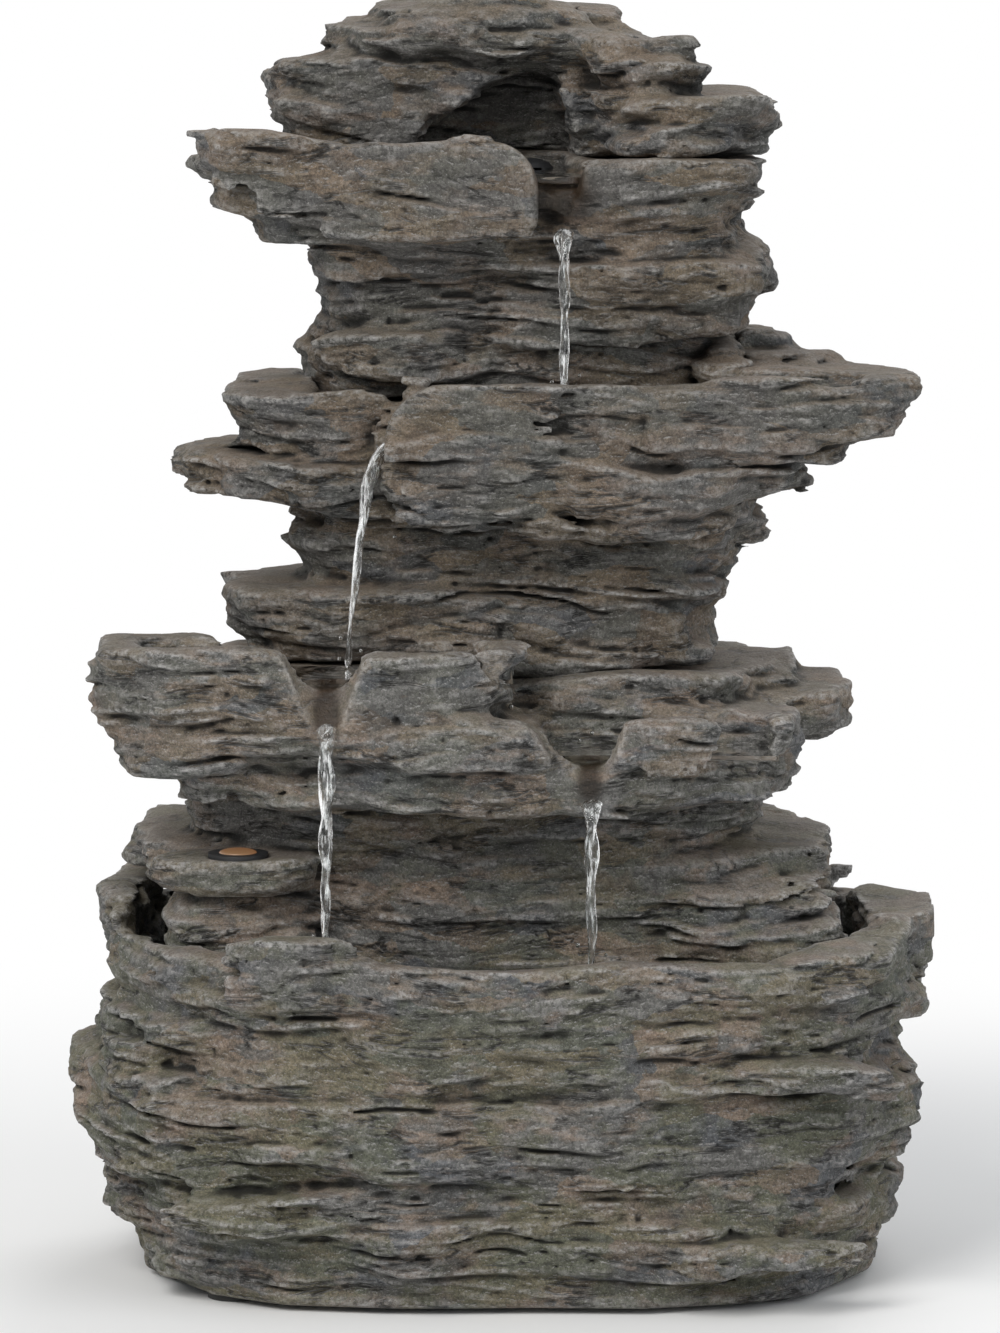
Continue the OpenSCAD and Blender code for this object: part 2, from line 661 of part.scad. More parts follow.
module crown() {
    l = -crown_left;
    r = crown_right;
    up = crown_rise;
    cave = [hose_x + 13 - cave_w, hose_x + 13];
    color(brown_rock)
    difference() {
        union() {
            // left leg with back, right leg, then the slabs of the cap
            strata(crown_z, [
                [crown_z + 0.2 * up, [l + 6, cave[1] + 22, -crown_front, column_back - 8], 2],
                [crown_z + 0.56 * up, [l, cave[1] + 20, -crown_front, column_back - 10], 2],
                [crown_z + 0.66 * up, [l + 19, cave[1] + 20, -crown_front - 2, column_back - 14], 1]], 3.4, 304);
            strata(crown_z, [
                [crown_z + 0.38 * up, [top_spout_x + 4, r, -top_front + 8, column_back - 12], 3],
                [crown_z + 0.64 * up, [top_spout_x + 6, r - 21, -top_front + 11, column_back - 16], 2]], 3.4, 316);
            strata(crown_z + 0.62 * up, [
                [crown_z + 0.8 * up, [-58, r - 36, -crown_front - 10, column_back - 20], 2],
                [crown_z + 0.92 * up, [-45, 32, -crown_front - 8, column_back - 30], 2],
                [crown_z + up, [-30, 18, -crown_front - 1, column_back - 44], 1]], 2.8, 328);
            plate([l + 22, -8, -crown_front - 3, 20], crown_z + 0.2 * up, crown_z + 0.34 * up, 341);
            plate([10, r - 20, -crown_front - 14, 30], crown_z + 0.66 * up, crown_z + 0.78 * up, 345);
            plate([-40, 10, -crown_front - 14, 10], crown_z + 0.74 * up, crown_z + 0.86 * up, 349);
            plate([r - 34, r + 1, -top_front + 20, 30], crown_z + 0.1 * up, crown_z + 0.32 * up, 353);
            plate([l, l + 40, 0, column_back - 16], crown_z + 0.3 * up, crown_z + 0.5 * up, 357);
            plate([-52, -20, -crown_front - 9, 14], crown_z + 0.7 * up, crown_z + 0.82 * up, 361);
            plate([4, r - 40, 0, column_back - 22], crown_z + 0.8 * up, crown_z + 0.9 * up, 365);
            plate([l + 6, l + 50, -crown_front - 1, 30], crown_z + 0.5 * up, crown_z + 0.62 * up, 369);
        }
        // cave, whose roof slants down to the left
        translate([cave[1], hose_y + cave_back, crown_z]) rotate([90, 0, 0]) linear_extrude(top_front + past)
            polygon([[-cave_w, -1], [-cave_w + 2, cave_h * 0.35], [-cave_w * 0.7, cave_h * 0.6],
                [-cave_w * 0.42, cave_h * 0.92], [-cave_w * 0.24, cave_h], [-4, cave_h * 0.86],
                [0, cave_h * 0.5], [1, -1]]);
    }
}

// Pump: its axis runs along X through the middle of the chamber, which lies under the hose

module pump_frame() {
    translate([hose_x, hose_y, pump_z]) children();
}

// A rounded square section, drawn along X from one place to another
module block(from, to, width, radius) {
    translate([from, 0, 0]) rotate([90, 0, 90]) linear_extrude(to - from) {
        square([width, width - 2 * radius], center = true);
        square([width - 2 * radius, width], center = true);
        for (y = [-1, 1], z = [-1, 1]) {
            translate([y * (width / 2 - radius), z * (width / 2 - radius)]) circle(r = radius, $fn = 24);
        }
    }
}

module rod(from, to, diameter) {
    translate([from, 0, 0]) rotate([0, 90, 0]) cylinder(d = diameter, h = to - from, $fn = 48);
}

module cup_places() {
    for (x = [mouth + 6, motor_end - 8], y = [-1, 1]) {
        translate([x, y * (pump_w / 2 - 8), -pump_w / 2]) children();
    }
}

module pump_body() {
    color(black_plastic)
    pump_frame()
    difference() {
        union() {
            block(mouth, motor_end, pump_w, 5);
            translate([0, 0, pump_w / 2 - 1]) cylinder(d = hose_od, h = 1 + collar_h, $fn = 48);
            cylinder(d = hose_id - 2 * hose_gap, h = pump_w / 2 + collar_h + nozzle_len, $fn = 48);
            // cooling ribs on top of the motor
            for (x = [back + 8:6:motor_end - 6]) {
                translate([x, -pump_w / 2 + 7, pump_w / 2 - 1]) cube([2, pump_w - 14, 2.2]);
            }
        }
        rod(mouth - 1, back, chamber_d);
        rod(mouth - 1, mouth + seal_w + 0.1, chamber_d + 2 * seal_w + 0.2);
        rod(back - 1, well_end, magnet_d + 1.2);
        rod(well_end - 1, well_end + bush_len, bush_d);
        cylinder(d = nozzle_bore, h = pump_w, $fn = 48);
        cup_places() translate([0, 0, -1]) cylinder(d = stem_d + 2 * fit, h = stem_len + 1, $fn = 32);
    }
}

module pump_seal() {
    color(rubber)
    pump_frame() translate([mouth + seal_w / 2 + 0.05, 0, 0]) rotate([0, 90, 0])
        rotate_extrude($fn = 64) translate([chamber_d / 2 + seal_w / 2 + 0.05, 0])
            circle(d = seal_w, $fn = 20);
}

module chamber_cover() {
    color(black_plastic)
    pump_frame()
    difference() {
        union() {
            block(mouth - cover_t, mouth, pump_w, 5);
            rod(mouth - 1, mouth + spigot_len, chamber_d - 2 * fit);
        }
        rod(mouth, mouth + spigot_len + 1, impeller_d + 2.5);
        // inlet, crossed by the spokes that hold the front bush
        difference() {
            rod(mouth - cover_t - 1, mouth + 1, inlet_d);
            rod(mouth - cover_t - 2, mouth + 2, bush_d + 3);
            for (turn = [0, 120, 240]) {
                rotate([turn, 0, 0]) translate([mouth - cover_t - 2, -0.9, 0])
                    cube([cover_t + 4, 1.8, inlet_d]);
            }
        }
        rod(mouth - cover_t - 1, mouth + 2, bush_d);
    }
}

module port_places() {
    for (turn = [0:90:270]) {
        rotate([turn, 0, 0]) translate([0, 0, port_ring]) children();
    }
}

module intake_grille() {
    face = mouth - cover_t - intake_len;
    pitch = (pump_w - 14) / grille_slots;
    color(black_plastic)
    pump_frame()
    difference() {
        block(face, mouth - cover_t, pump_w, 5);
        block(face + pump_wall, mouth - cover_t + 1, pump_w - 2 * pump_wall, 4);
        for (k = [0:grille_slots - 1]) {
            z = -pump_w / 2 + 7 + (k + 0.5) * pitch;
            translate([face + 3, -pump_w, z - pitch / 4]) cube([intake_len - 5, 2 * pump_w, pitch / 2]);
        }
        port_places() rod(face - 1, face + pump_wall + 1, port_d);
        rod(face - 1, face + pump_wall + 1, rivet_d);
    }
}

module flow_dial() {
    face = mouth - cover_t - intake_len - dial_gap;
    color("#3c3f43")
    pump_frame()
    difference() {
        union() {
            rod(face - dial_t, face, dial_d);
            translate([face - dial_t, -2.5, dial_d / 2 - 2]) cube([dial_t, 5, 6]);
        }
        port_places() rod(face - dial_t - 1, face + 1, port_d);
        rod(face - dial_t - 1, face + 1, rivet_d + 2 * shaft_gap);
        for (turn = [30:15:330]) {
            rotate([turn, 0, 0]) translate([0, 0, dial_d / 2 + 0.5]) rod(face - dial_t - 1, face + 1, 2);
        }
    }
}

module dial_rivet() {
    face = mouth - cover_t - intake_len;
    outer = face - dial_gap - dial_t - dial_gap;
    color(black_plastic)
    pump_frame() {
        rod(outer, face + pump_wall + 1, rivet_d - 2 * 0.01);
        rod(outer - 1.4, outer, rivet_d + 3.4);
        rod(face + pump_wall, face + pump_wall + 1.4, rivet_d + 2.4);
    }
}

module rotor_magnet() {
    color("#4a4a4d")
    pump_frame()
    difference() {
        rod(back + 1, back + 1 + magnet_len, magnet_d);
        rod(back, back + 2 + magnet_len, shaft_d + 2 * shaft_gap);
    }
}

module impeller() {
    disc = back - 2.6;
    color("#d9d9d4")
    pump_frame()
    difference() {
        union() {
            rod(disc, disc + 1.6, impeller_d);
            rod(mouth + 2.4, back + 1, hub_d);
            for (k = [0:impeller_blades - 1]) {
                rotate([k * 360 / impeller_blades, 0, 0]) translate([disc - blade_len, -0.6, 0])
                    cube([blade_len + 0.5, 1.2, impeller_d / 2 - 0.4]);
            }
        }
        rod(mouth, back + 2, shaft_d + 2 * shaft_gap);
    }
}

module rotor_shaft() {
    color("#e8e6df")
    pump_frame() rod(mouth - cover_t, well_end + bush_len - 0.5, shaft_d);
}

module shaft_bushes() {
    color(rubber)
    pump_frame() {
        for (span = [[mouth - cover_t, mouth + 1.2], [well_end + 0.1, well_end + bush_len]]) {
            difference() {
                rod(span[0], span[1], bush_d - 2 * fit);
                rod(span[0] - 1, span[1] + 1, shaft_d + 2 * fit);
            }
        }
    }
}

module suction_cups() {
    color(rubber)
    pump_frame() cup_places() {
        rotate_extrude($fn = 48)
            polygon([[0, 0], [stem_d / 2 + 1.2, 0], [stem_d / 2 + 1.2, -cup_h + 3.4], [cup_d / 2, -cup_h],
                [cup_d / 2 - 1.2, -cup_h], [stem_d / 2, -cup_h + 1.8], [0, -cup_h + 2.2]]);
        cylinder(d = stem_d, h = stem_len - 0.3, $fn = 32);
    }
}

// Hose

module riser_hose() {
    color("#b9bdb8", 0.8)
    translate([hose_x, hose_y, hose_low])
    difference() {
        cylinder(d = hose_od, h = hose_high - hose_low, $fn = 64);
        translate([0, 0, -1]) cylinder(d = hose_id, h = hose_high - hose_low + 2, $fn = 64);
    }
}

module hose_clip() {
    inner = hose_od + 2 * hose_gap;
    color("silver")
    translate([hose_x, hose_y, hose_low + 5])
    difference() {
        union() {
            cylinder(d = inner + 2.4, h = clip_w, $fn = 48);
            translate([-3.6, -inner / 2 - 6, 0]) cube([7.2, 7, clip_w]);
            // clamping screw
            translate([-6, -inner / 2 - 3.4, clip_w / 2]) rotate([0, 90, 0]) cylinder(d = 3, h = 12, $fn = 24);
            translate([-7.6, -inner / 2 - 3.4, clip_w / 2]) rotate([0, 90, 0]) cylinder(d = 5, h = 2.4, $fn = 24);
        }
        translate([0, 0, -1]) cylinder(d = inner, h = clip_w + 2, $fn = 48);
        translate([-0.8, -inner / 2 - 7, -1]) cube([1.6, 1.9, clip_w + 2]);
        translate([-0.8, -inner / 2 - 1.5, -1]) cube([1.6, 3, clip_w + 2]);
    }
}

module outlet_nozzle() {
    head = 11;
    color(black_plastic)
    translate([hose_x, hose_y, top_floor])
    difference() {
        union() {
            translate([0, 0, -nozzle_len]) cylinder(d = hose_id - 2 * hose_gap, h = nozzle_len + 1, $fn = 48);
            cylinder(d = flange_d + 4, h = 2, $fn = 48);
            rotate_extrude($fn = 48)
                polygon([[0, 1], [head / 2 + 1.5, 1], [head / 2 + 1.5, 4], [head / 2, 5.6], [head / 4, 6.6], [0, 7]]);
        }
        translate([0, 0, -nozzle_len - 1]) cylinder(d = nozzle_bore, h = nozzle_len + 5, $fn = 48);
        translate([-nozzle_bore / 2, -head, 2.5]) cube([nozzle_bore, head, 1.6]);
    }
}

// Lamps

module lamp_housings() {
    color(black_plastic)
    lamp_places()
    difference() {
        union() {
            translate([0, 0, -lamp_sink]) cylinder(d = lamp_d, h = lamp_sink + 1, $fn = 48);
            cylinder(d = lamp_d + 2 * bezel, h = 1.5, $fn = 48);
        }
        translate([0, 0, -lamp_sink + 1.5]) cylinder(d = lamp_d - 3, h = lamp_sink + 2, $fn = 48);
    }
}

module lamp_lenses() {
    lens_d = lamp_d - 3 - 2 * fit;
    color("#f1e3c4", 0.8)
    lamp_places() translate([0, 0, -lamp_sink + 1.5])
        rotate_extrude($fn = 48)
            polygon(concat([[0, 0], [lens_d / 2, 0]],
                [for (a = [0:15:90]) [lens_d / 2 * cos(a), lamp_sink + lens_d / 9 * sin(a)]]));
}

// Cord outlet

module cord_grommet() {
    inside = deep_wall;
    color(rubber)
    grommet_place()
    difference() {
        union() {
            translate([0, 0, -inside]) cylinder(d = sleeve_d - 2 * fit, h = inside + 1, $fn = 48);
            cylinder(d = flange_d, h = 2.5, $fn = 48);
        }
        translate([0, 0, -inside - 1]) cylinder(d = cord_hole_d, h = inside + 5, $fn = 48);
    }
}

basin();
feet();
lower_tier();
rear_door();
middle_tier();
top_tier();
crown();
cord_grommet();
pump_body();
pump_seal();
chamber_cover();
intake_grille();
flow_dial();
dial_rivet();
rotor_magnet();
impeller();
rotor_shaft();
shaft_bushes();
suction_cups();
riser_hose();
hose_clip();
outlet_nozzle();
lamp_housings();
lamp_lenses();
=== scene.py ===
import math
import bpy
import numpy as np
import openvdb as vdb
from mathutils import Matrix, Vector


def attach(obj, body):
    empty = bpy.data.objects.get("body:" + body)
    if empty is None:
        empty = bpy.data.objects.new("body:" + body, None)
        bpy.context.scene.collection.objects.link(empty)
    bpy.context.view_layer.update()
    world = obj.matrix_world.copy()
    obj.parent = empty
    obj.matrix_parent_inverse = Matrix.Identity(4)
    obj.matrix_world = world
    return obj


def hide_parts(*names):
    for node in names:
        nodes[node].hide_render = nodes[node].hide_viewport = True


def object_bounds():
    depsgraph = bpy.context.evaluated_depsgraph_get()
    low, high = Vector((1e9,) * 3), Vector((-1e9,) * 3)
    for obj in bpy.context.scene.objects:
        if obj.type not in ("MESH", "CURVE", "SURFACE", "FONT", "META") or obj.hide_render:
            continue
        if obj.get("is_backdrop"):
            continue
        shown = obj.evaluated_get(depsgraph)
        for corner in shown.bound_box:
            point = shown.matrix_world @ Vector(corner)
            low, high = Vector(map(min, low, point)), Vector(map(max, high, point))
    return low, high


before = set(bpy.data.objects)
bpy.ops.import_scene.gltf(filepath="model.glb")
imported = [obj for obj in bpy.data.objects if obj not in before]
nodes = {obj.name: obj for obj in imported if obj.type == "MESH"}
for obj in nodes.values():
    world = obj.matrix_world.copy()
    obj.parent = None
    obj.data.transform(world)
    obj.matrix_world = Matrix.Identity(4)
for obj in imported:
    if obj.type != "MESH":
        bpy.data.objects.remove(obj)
cadLow, cadHigh = (np.array(corner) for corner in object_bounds())
scene = bpy.context.scene
print("fountain: frame loaded with", len(nodes), "nodes")

# the camera comes first, at the photograph's height and distance
cameraSetup = {"target": (0.0, 0.0, 0.195), "distance": 2.217, "elevation": 7.2, "lens": 185.7}


def addCamera(setup):
    # it stands in front of the target, at that distance and that many degrees above it
    tilt = math.radians(setup["elevation"])
    target = Vector(setup["target"])
    place = target + setup["distance"] * Vector((0, -math.cos(tilt), math.sin(tilt)))
    data = bpy.data.cameras.new("camera")
    data.lens = setup["lens"]
    camera = bpy.data.objects.new("camera", data)
    camera.location = place
    camera.rotation_euler = (target - place).to_track_quat("-Z", "Y").to_euler()
    scene.collection.objects.link(camera)
    scene.camera = camera


addCamera(cameraSetup)

# small helpers for materials
plus, minus, times, highest = ({"operation": word} for word in ("ADD", "SUBTRACT", "MULTIPLY", "MAXIMUM"))
eased = {"interpolation_type": "SMOOTHSTEP"}
paintOver = {"data_type": "RGBA", "blend_type": "MIX"}
tint = {"data_type": "RGBA", "blend_type": "MULTIPLY"}


def linear(hexColour):  # sRGB hex to linear
    parts = [int(hexColour[i:i + 2], 16) / 255 for i in (1, 3, 5)]
    return tuple(c / 12.92 if c <= 0.04045 else ((c + 0.055) / 1.055) ** 2.4 for c in parts) + (1.0,)


def setStops(elements, stops):  # places and colours along a ramp, where a number stands for a grey
    while len(elements) < len(stops):
        elements.new(0.5)
    for element, (place, colour) in zip(elements, stops):
        element.position = place
        if isinstance(colour, str):
            colour = linear(colour)
        element.color = colour if isinstance(colour, tuple) else (colour, colour, colour, 1)


def addNode(tree, kind, settings=None, *values, give=0, **links):
    # A node with its settings. Its inputs are linked or set in their order, by number or by name, and
    # one of its outputs is given back.
    node = tree.nodes.new("ShaderNode" + kind)
    for key, value in (settings or {}).items():
        if key == "stops":
            setStops(node.color_ramp.elements, value)
        else:
            setattr(node, key, value)
    wanted = [(node.inputs[number], value) for number, value in enumerate(values)]
    for key, value in links.items():
        wanted.append((node.inputs[int(key[2:]) if key[2:].isdigit() else key.replace("_", " ")], value))
    for socket, value in wanted:
        if isinstance(value, bpy.types.NodeSocket):
            tree.links.new(value, socket)
        else:
            socket.default_value = value
    return node.outputs[give]


def newMaterial(name):
    material = bpy.data.materials.new(name)
    material.use_nodes = True
    tree = material.node_tree
    tree.nodes.clear()
    return material, tree


def finishTree(tree, shader, kind="ShaderNodeOutputMaterial"):
    tree.links.new(shader, tree.nodes.new(kind).inputs["Surface"])


def placeInMm(tree, stretch=(1, 1, 1)):  # object coordinates in millimetres, squeezed along each axis
    coordinates = addNode(tree, "TexCoord", give="Object")
    return addNode(tree, "Mapping", None, coordinates, Scale=tuple(1000 * s for s in stretch))


# Cast rock. One noise field serves every casting, so that beds run on from one casting to the next.
rock = {
    "voxel": 1.6,           # mm across, and half of it upwards
    "band": 6.0,            # how far the field reaches on each side of the surface, in voxels
    "bend": (3.2, 3.0),     # how far the field is bent, sideways and upwards, mm
    "slab": (21.0, 2.2),    # thickness of the thick beds and how far they step, mm
    "bed": (6.6, 1.5),      # the same for the thinner beds in them
    "flake": (2.7, 0.75),   # and for the flakes
    "lump": 1.3,            # slow swelling, mm
    "fibre": 0.4,           # fine relief along the beds, mm
    "grain": 0.55,          # cast grain, mm
    "crack": 1.6,           # depth of the open cracks, mm
    "pit": 1.4,             # depth of the small pits, mm
    "shrink": 0.3,          # what comes off everywhere, mm
    "worn": (0.6, 0.3),     # share of the beds, and of the rest, that the tops of ledges have lost
    "wall": (1.2, 0.72),    # rock deeper than this, mm, loses at most that share of its depth, less the first
    "overlap": 1.8,         # how far an upper course runs down inside the lower one, mm
    "inset": 0.3,           # how far it stands back there, mm
}
lattice = (np.random.default_rng(11).random(64 ** 3).astype(np.float32) * 2 - 1)


def noise3(x, y, z):
    # value noise: random numbers on a 64-cell lattice, joined by smooth cubic steps along each axis
    cells = [np.floor(v).astype(np.int32) for v in (x, y, z)]
    fx, fy, fz = (v - c for v, c in zip((x, y, z), cells))
    fx, fy, fz = (t * t * (3 - 2 * t) for t in (fx, fy, fz))
    x0, x1 = (cells[0] & 63) << 12, ((cells[0] + 1) & 63) << 12
    y0, y1 = (cells[1] & 63) << 6, ((cells[1] + 1) & 63) << 6
    z0, z1 = cells[2] & 63, (cells[2] + 1) & 63
    a = lattice[x0 + y0 + z0] * (1 - fx) + lattice[x1 + y0 + z0] * fx
    b = lattice[x0 + y1 + z0] * (1 - fx) + lattice[x1 + y1 + z0] * fx
    c = lattice[x0 + y0 + z1] * (1 - fx) + lattice[x1 + y0 + z1] * fx
    d = lattice[x0 + y1 + z1] * (1 - fx) + lattice[x1 + y1 + z1] * fx
    return (a * (1 - fy) + b * fy) * (1 - fz) + (c * (1 - fy) + d * fy) * fz


def bedNoise(x, y, z, thick, span, seed, soft):
    # one slowly changing step for each bed of that thickness, with a soft edge to the next bed
    level = z / thick + 17.3 * seed
    bed = np.floor(level)
    inside = level - bed
    here = noise3(x / span + 5.17 * bed, y / span + 3.71 * bed, 1.37 * bed + seed)
    above = noise3(x / span + 5.17 * (bed + 1), y / span + 3.71 * (bed + 1), 1.37 * (bed + 1) + seed)
    blend = np.clip((inside - 1 + soft) / soft, 0, 1)
    return here + (above - here) * blend * blend * (3 - 2 * blend)


def smoothStep(low, high, value):  # 0 at low, 1 at high, and a cubic between
    t = np.clip((value - low) / (high - low), 0, 1)
    return t * t * (3 - 2 * t)


def boxBlur(values, reach, axis):  # running mean over 2 * reach + 1 cells along one axis
    pad = [(reach + 1, reach) if i == axis else (0, 0) for i in range(3)]
    total = np.cumsum(np.pad(values, pad, mode="edge"), axis=axis, dtype=np.float64)
    count = values.shape[axis]
    high = np.take(total, np.arange(2 * reach + 1, 2 * reach + 1 + count), axis=axis)
    low = np.take(total, np.arange(0, count), axis=axis)
    return ((high - low) / (2 * reach + 1)).astype(np.float32)


def windowMax(values, reach, axis):  # highest value within that many cells along one axis
    result = values.copy()
    for step in range(1, reach + 1):
        ahead, behind = [slice(None)] * 3, [slice(None)] * 3
        ahead[axis], behind[axis] = slice(step, None), slice(None, -step)
        result[tuple(behind)] = np.maximum(result[tuple(behind)], values[tuple(ahead)])
        result[tuple(ahead)] = np.maximum(result[tuple(ahead)], values[tuple(behind)])
    return result


def sampleGrid(values, places):  # trilinear values of a grid at places given in cells
    places = np.clip(places, 0, np.array(values.shape) - 1.001)
    base = np.floor(places).astype(np.int32)
    part = (places - base).astype(np.float32)
    result = np.zeros(len(places), np.float32)
    for corner in range(8):
        offset = [(corner >> 2) & 1, (corner >> 1) & 1, corner & 1]
        weight = np.prod([part[:, i] if offset[i] else 1 - part[:, i] for i in range(3)], axis=0)
        result += weight * values[base[:, 0] + offset[0], base[:, 1] + offset[1], base[:, 2] + offset[2]]
    return result


# places where the castings keep their plain shape: centre, full calm and no calm, mm
calmSpots = [
    ((64, 72, 134), 13, 24),        # cord grommet
    ((-14, -56, 199), 11, 20),      # lamp in the left pool
    ((-83, -46, 142), 11, 20),      # lamp on the ledge
    ((20, -56, 350), 10, 19),       # the cheeks of the four spouts, from here on
    ((12, -56, 358), 7, 15),
    ((-30, -53, 284), 9, 18),
    ((-30, -64, 288), 6, 14),
    ((-54, -82, 194), 10, 19),
    ((-62, -82, 202), 6, 14),
    ((-45, -82, 202), 6, 14),
    ((28, -82, 169), 9, 17),
    ((17, -82, 178), 7, 15),
    ((36, -82, 178), 6, 13),
]
hoseAxis = (10, -2)     # x and y, mm
doorShape = {"half": (42, 23), "height": 152, "corner": 8}      # half width and height, middle, rounding


def calm(x, y, z):
    # 0 where the casting stays plain, 1 where it is rough, smooth between
    rough = smoothStep(3, 9, z)
    for (cx, cy, cz), full, none in calmSpots:
        away = np.sqrt((x - cx) ** 2 + (y - cy) ** 2 + (z - cz) ** 2)
        rough = rough * smoothStep(full, none, away)
    rough = rough * smoothStep(8, 14, np.hypot(x - hoseAxis[0], y - hoseAxis[1]))
    # the seam of the rear door: distance from its rounded outline
    dx = np.abs(x) - doorShape["half"][0] + doorShape["corner"]
    dz = np.abs(z - doorShape["height"]) - doorShape["half"][1] + doorShape["corner"]
    outline = np.hypot(np.maximum(dx, 0), np.maximum(dz, 0)) + np.minimum(np.maximum(dx, dz), 0)
    outline = outline - doorShape["corner"]
    seam = smoothStep(1.5, 5, np.abs(outline)) + smoothStep(60, 50, y)
    return rough * np.minimum(seam, 1)


def bedHeight(x, y, z):  # height in the bedding, which rolls and dips through the rock
    return (z + 9.0 * noise3(x / 80, y / 80, z / 60 + 9) + 1.8 * noise3(x / 24, y / 24, z / 18 + 2)
            + 0.05 * x * noise3(y / 200 + 4, x / 300, z / 45))


def rockRelief(x, y, z):
    # Stepped beds in three thicknesses and a slow swelling, then fibres along the beds and grain, then
    # cracks and pits, each in millimetres outwards.
    height = bedHeight(x, y, z)
    slab = np.clip(2.6 * bedNoise(x, y, height, rock["slab"][0], 44, 1, 0.14), -1, 1) * rock["slab"][1]
    broken = height + 2.2 * noise3(x / 16 + 9, y / 16, z / 9)
    bed = np.clip(2.2 * bedNoise(x, y, broken, rock["bed"][0], 17, 2, 0.2), -1, 1) * rock["bed"][1]
    ragged = broken + 0.9 * noise3(x / 6, y / 6, z / 4)
    flake = np.clip(1.8 * bedNoise(x, y, ragged, rock["flake"][0], 8, 3, 0.3), -1, 1) * rock["flake"][1]
    fibre = (1 - 2 * np.abs(noise3(x / 7, y / 7, ragged / 1.05))) * rock["fibre"]
    grain = noise3(x / 3.4, y / 3.4, z / 2.2) * rock["grain"]
    lump = noise3(x / 17 + 3, y / 17, z / 13) * rock["lump"]
    level = broken / rock["bed"][0] + 0.31      # open cracks follow the beds for a short way
    where = smoothStep(0.12, 0.4, noise3(x / 15, y / 15, 1.7 * np.floor(level) + 4))
    crack = smoothStep(0.13, 0.04, np.abs(level - np.floor(level) - 0.5)) * where
    pit = smoothStep(0.64, 0.8, noise3(x / 2.9, y / 2.9 + 5, z / 2.4))
    return slab + bed + flake + lump, fibre + grain, -rock["crack"] * crack - rock["pit"] * pit


def spoutDepth(x, y, z, cut):
    # How far a place lies inside the funnel of a spout: its floor falls evenly from the pool to the
    # lip, and each cheek leans from half the lip's width at the floor to its own half width at the rim.
    if "leftwards" in cut:      # the same spout, turned to the left
        x, y = -y, x
    middle, inner, outer = cut["places"]
    pool, lip, rim = cut["heights"]
    low = pool + (lip - pool) * np.clip((inner - y) / (inner - outer), 0, 1.15)
    rise = (z - low) / (rim - low)
    halfLip = 3.4
    left, right = (halfLip + (half - halfLip) * rise for half in cut["halves"])
    side = np.where(x < middle, left + (x - middle), right - (x - middle))
    return np.minimum(np.minimum(0.85 * side, 1.4 * (z - low)), inner + 2 - y)


def meshArrays(obj):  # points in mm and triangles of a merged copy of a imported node
    mesh = obj.data
    mesh.calc_loop_triangles()
    points = np.empty(len(mesh.vertices) * 3, np.float32)
    mesh.vertices.foreach_get("co", points)
    triangles = np.empty(len(mesh.loop_triangles) * 3, np.int32)
    mesh.loop_triangles.foreach_get("vertices", triangles)
    microns = np.round(points.reshape(-1, 3) * 1e6).astype(np.int64)
    keys, index = np.unique(microns, axis=0, return_inverse=True)
    triangles = index.reshape(-1)[triangles].reshape(-1, 3)
    a, b, c = triangles.T
    return keys / 1000.0, triangles[(a != b) & (b != c) & (c != a)]


def addedRock(x, y, z, lump):
    # Distance from a bar (rounded rod), a wall (upright slab along a line in plan, edges rounded) or a
    # boulder (rounded box). Heights count double, as in the field.
    if lump["kind"] == "boulder":
        parts = [np.abs(v - c) / r for v, c, r in zip((x, y, z), lump["centre"], lump["radii"])]
        return ((parts[0] ** 3 + parts[1] ** 3 + parts[2] ** 3) ** (1 / 3) - 1) * min(lump["radii"])
    start, end = lump["line"]
    run = [b - a for a, b in zip(start, end)]
    if lump["kind"] == "bar":
        along = (x - start[0]) * run[0] + (y - start[1]) * run[1] + (z - start[2]) * run[2]
        along = np.clip(along / sum(v * v for v in run), 0, 1)
        return np.sqrt((x - start[0] - along * run[0]) ** 2 + (y - start[1] - along * run[1]) ** 2
                       + (z - start[2] - along * run[2]) ** 2) - lump["radius"]
    edge = 3                        # rounding, mm
    along = ((x - start[0]) * run[0] + (y - start[1]) * run[1]) / (run[0] ** 2 + run[1] ** 2)
    along = np.clip(along, 0, 1)
    aside = np.hypot(x - start[0] - along * run[0], y - start[1] - along * run[1]) - lump["radius"] + edge
    low, high = lump["heights"]
    over = 2 * np.abs(z - (low + high) / 2) - (high - low) + edge
    return np.hypot(np.maximum(aside, 0), np.maximum(over, 0)) + np.minimum(np.maximum(aside, over), 0) - edge


def dropCrumbs(verts, quads, fewest=500):
    # Loose crumbs go: corners that edges join get one number in common, and small groups are left out.
    group = np.arange(len(verts))
    pairs = np.concatenate([quads[:, [0, 1]], quads[:, [1, 2]], quads[:, [2, 3]]])
    while len(pairs):
        ends = group[pairs]
        apart = ends[:, 0] != ends[:, 1]
        pairs, ends = pairs[apart], ends[apart]
        group[ends.max(axis=1)] = ends.min(axis=1)
        step = group[group]
        while (step != group).any():
            group = step
            step = group[group]
    keep = np.bincount(group, minlength=len(verts))[group] >= fewest
    number = np.cumsum(keep) - 1
    return keep, number[quads[keep[quads[:, 0]]]]


def fieldOf(node, transform):
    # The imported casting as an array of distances, below 0 in the rock, and the array's first cell.
    # Heights count double in it, so that thin beds get finer voxels.
    points, triangles = meshArrays(nodes[node])
    grid = vdb.FloatGrid.createLevelSetFromPolygons(
        (points * [1, 1, 2]).astype(np.float32), triangles=triangles.astype(np.uint32),
        transform=transform, halfWidth=rock["band"])
    low, high = grid.evalActiveVoxelBoundingBox()
    low = np.array(low) - 2
    field = np.empty(np.array(high) - low + 3, np.float32)
    grid.copyToArray(field, ijk=tuple(int(v) for v in low))
    return field, low


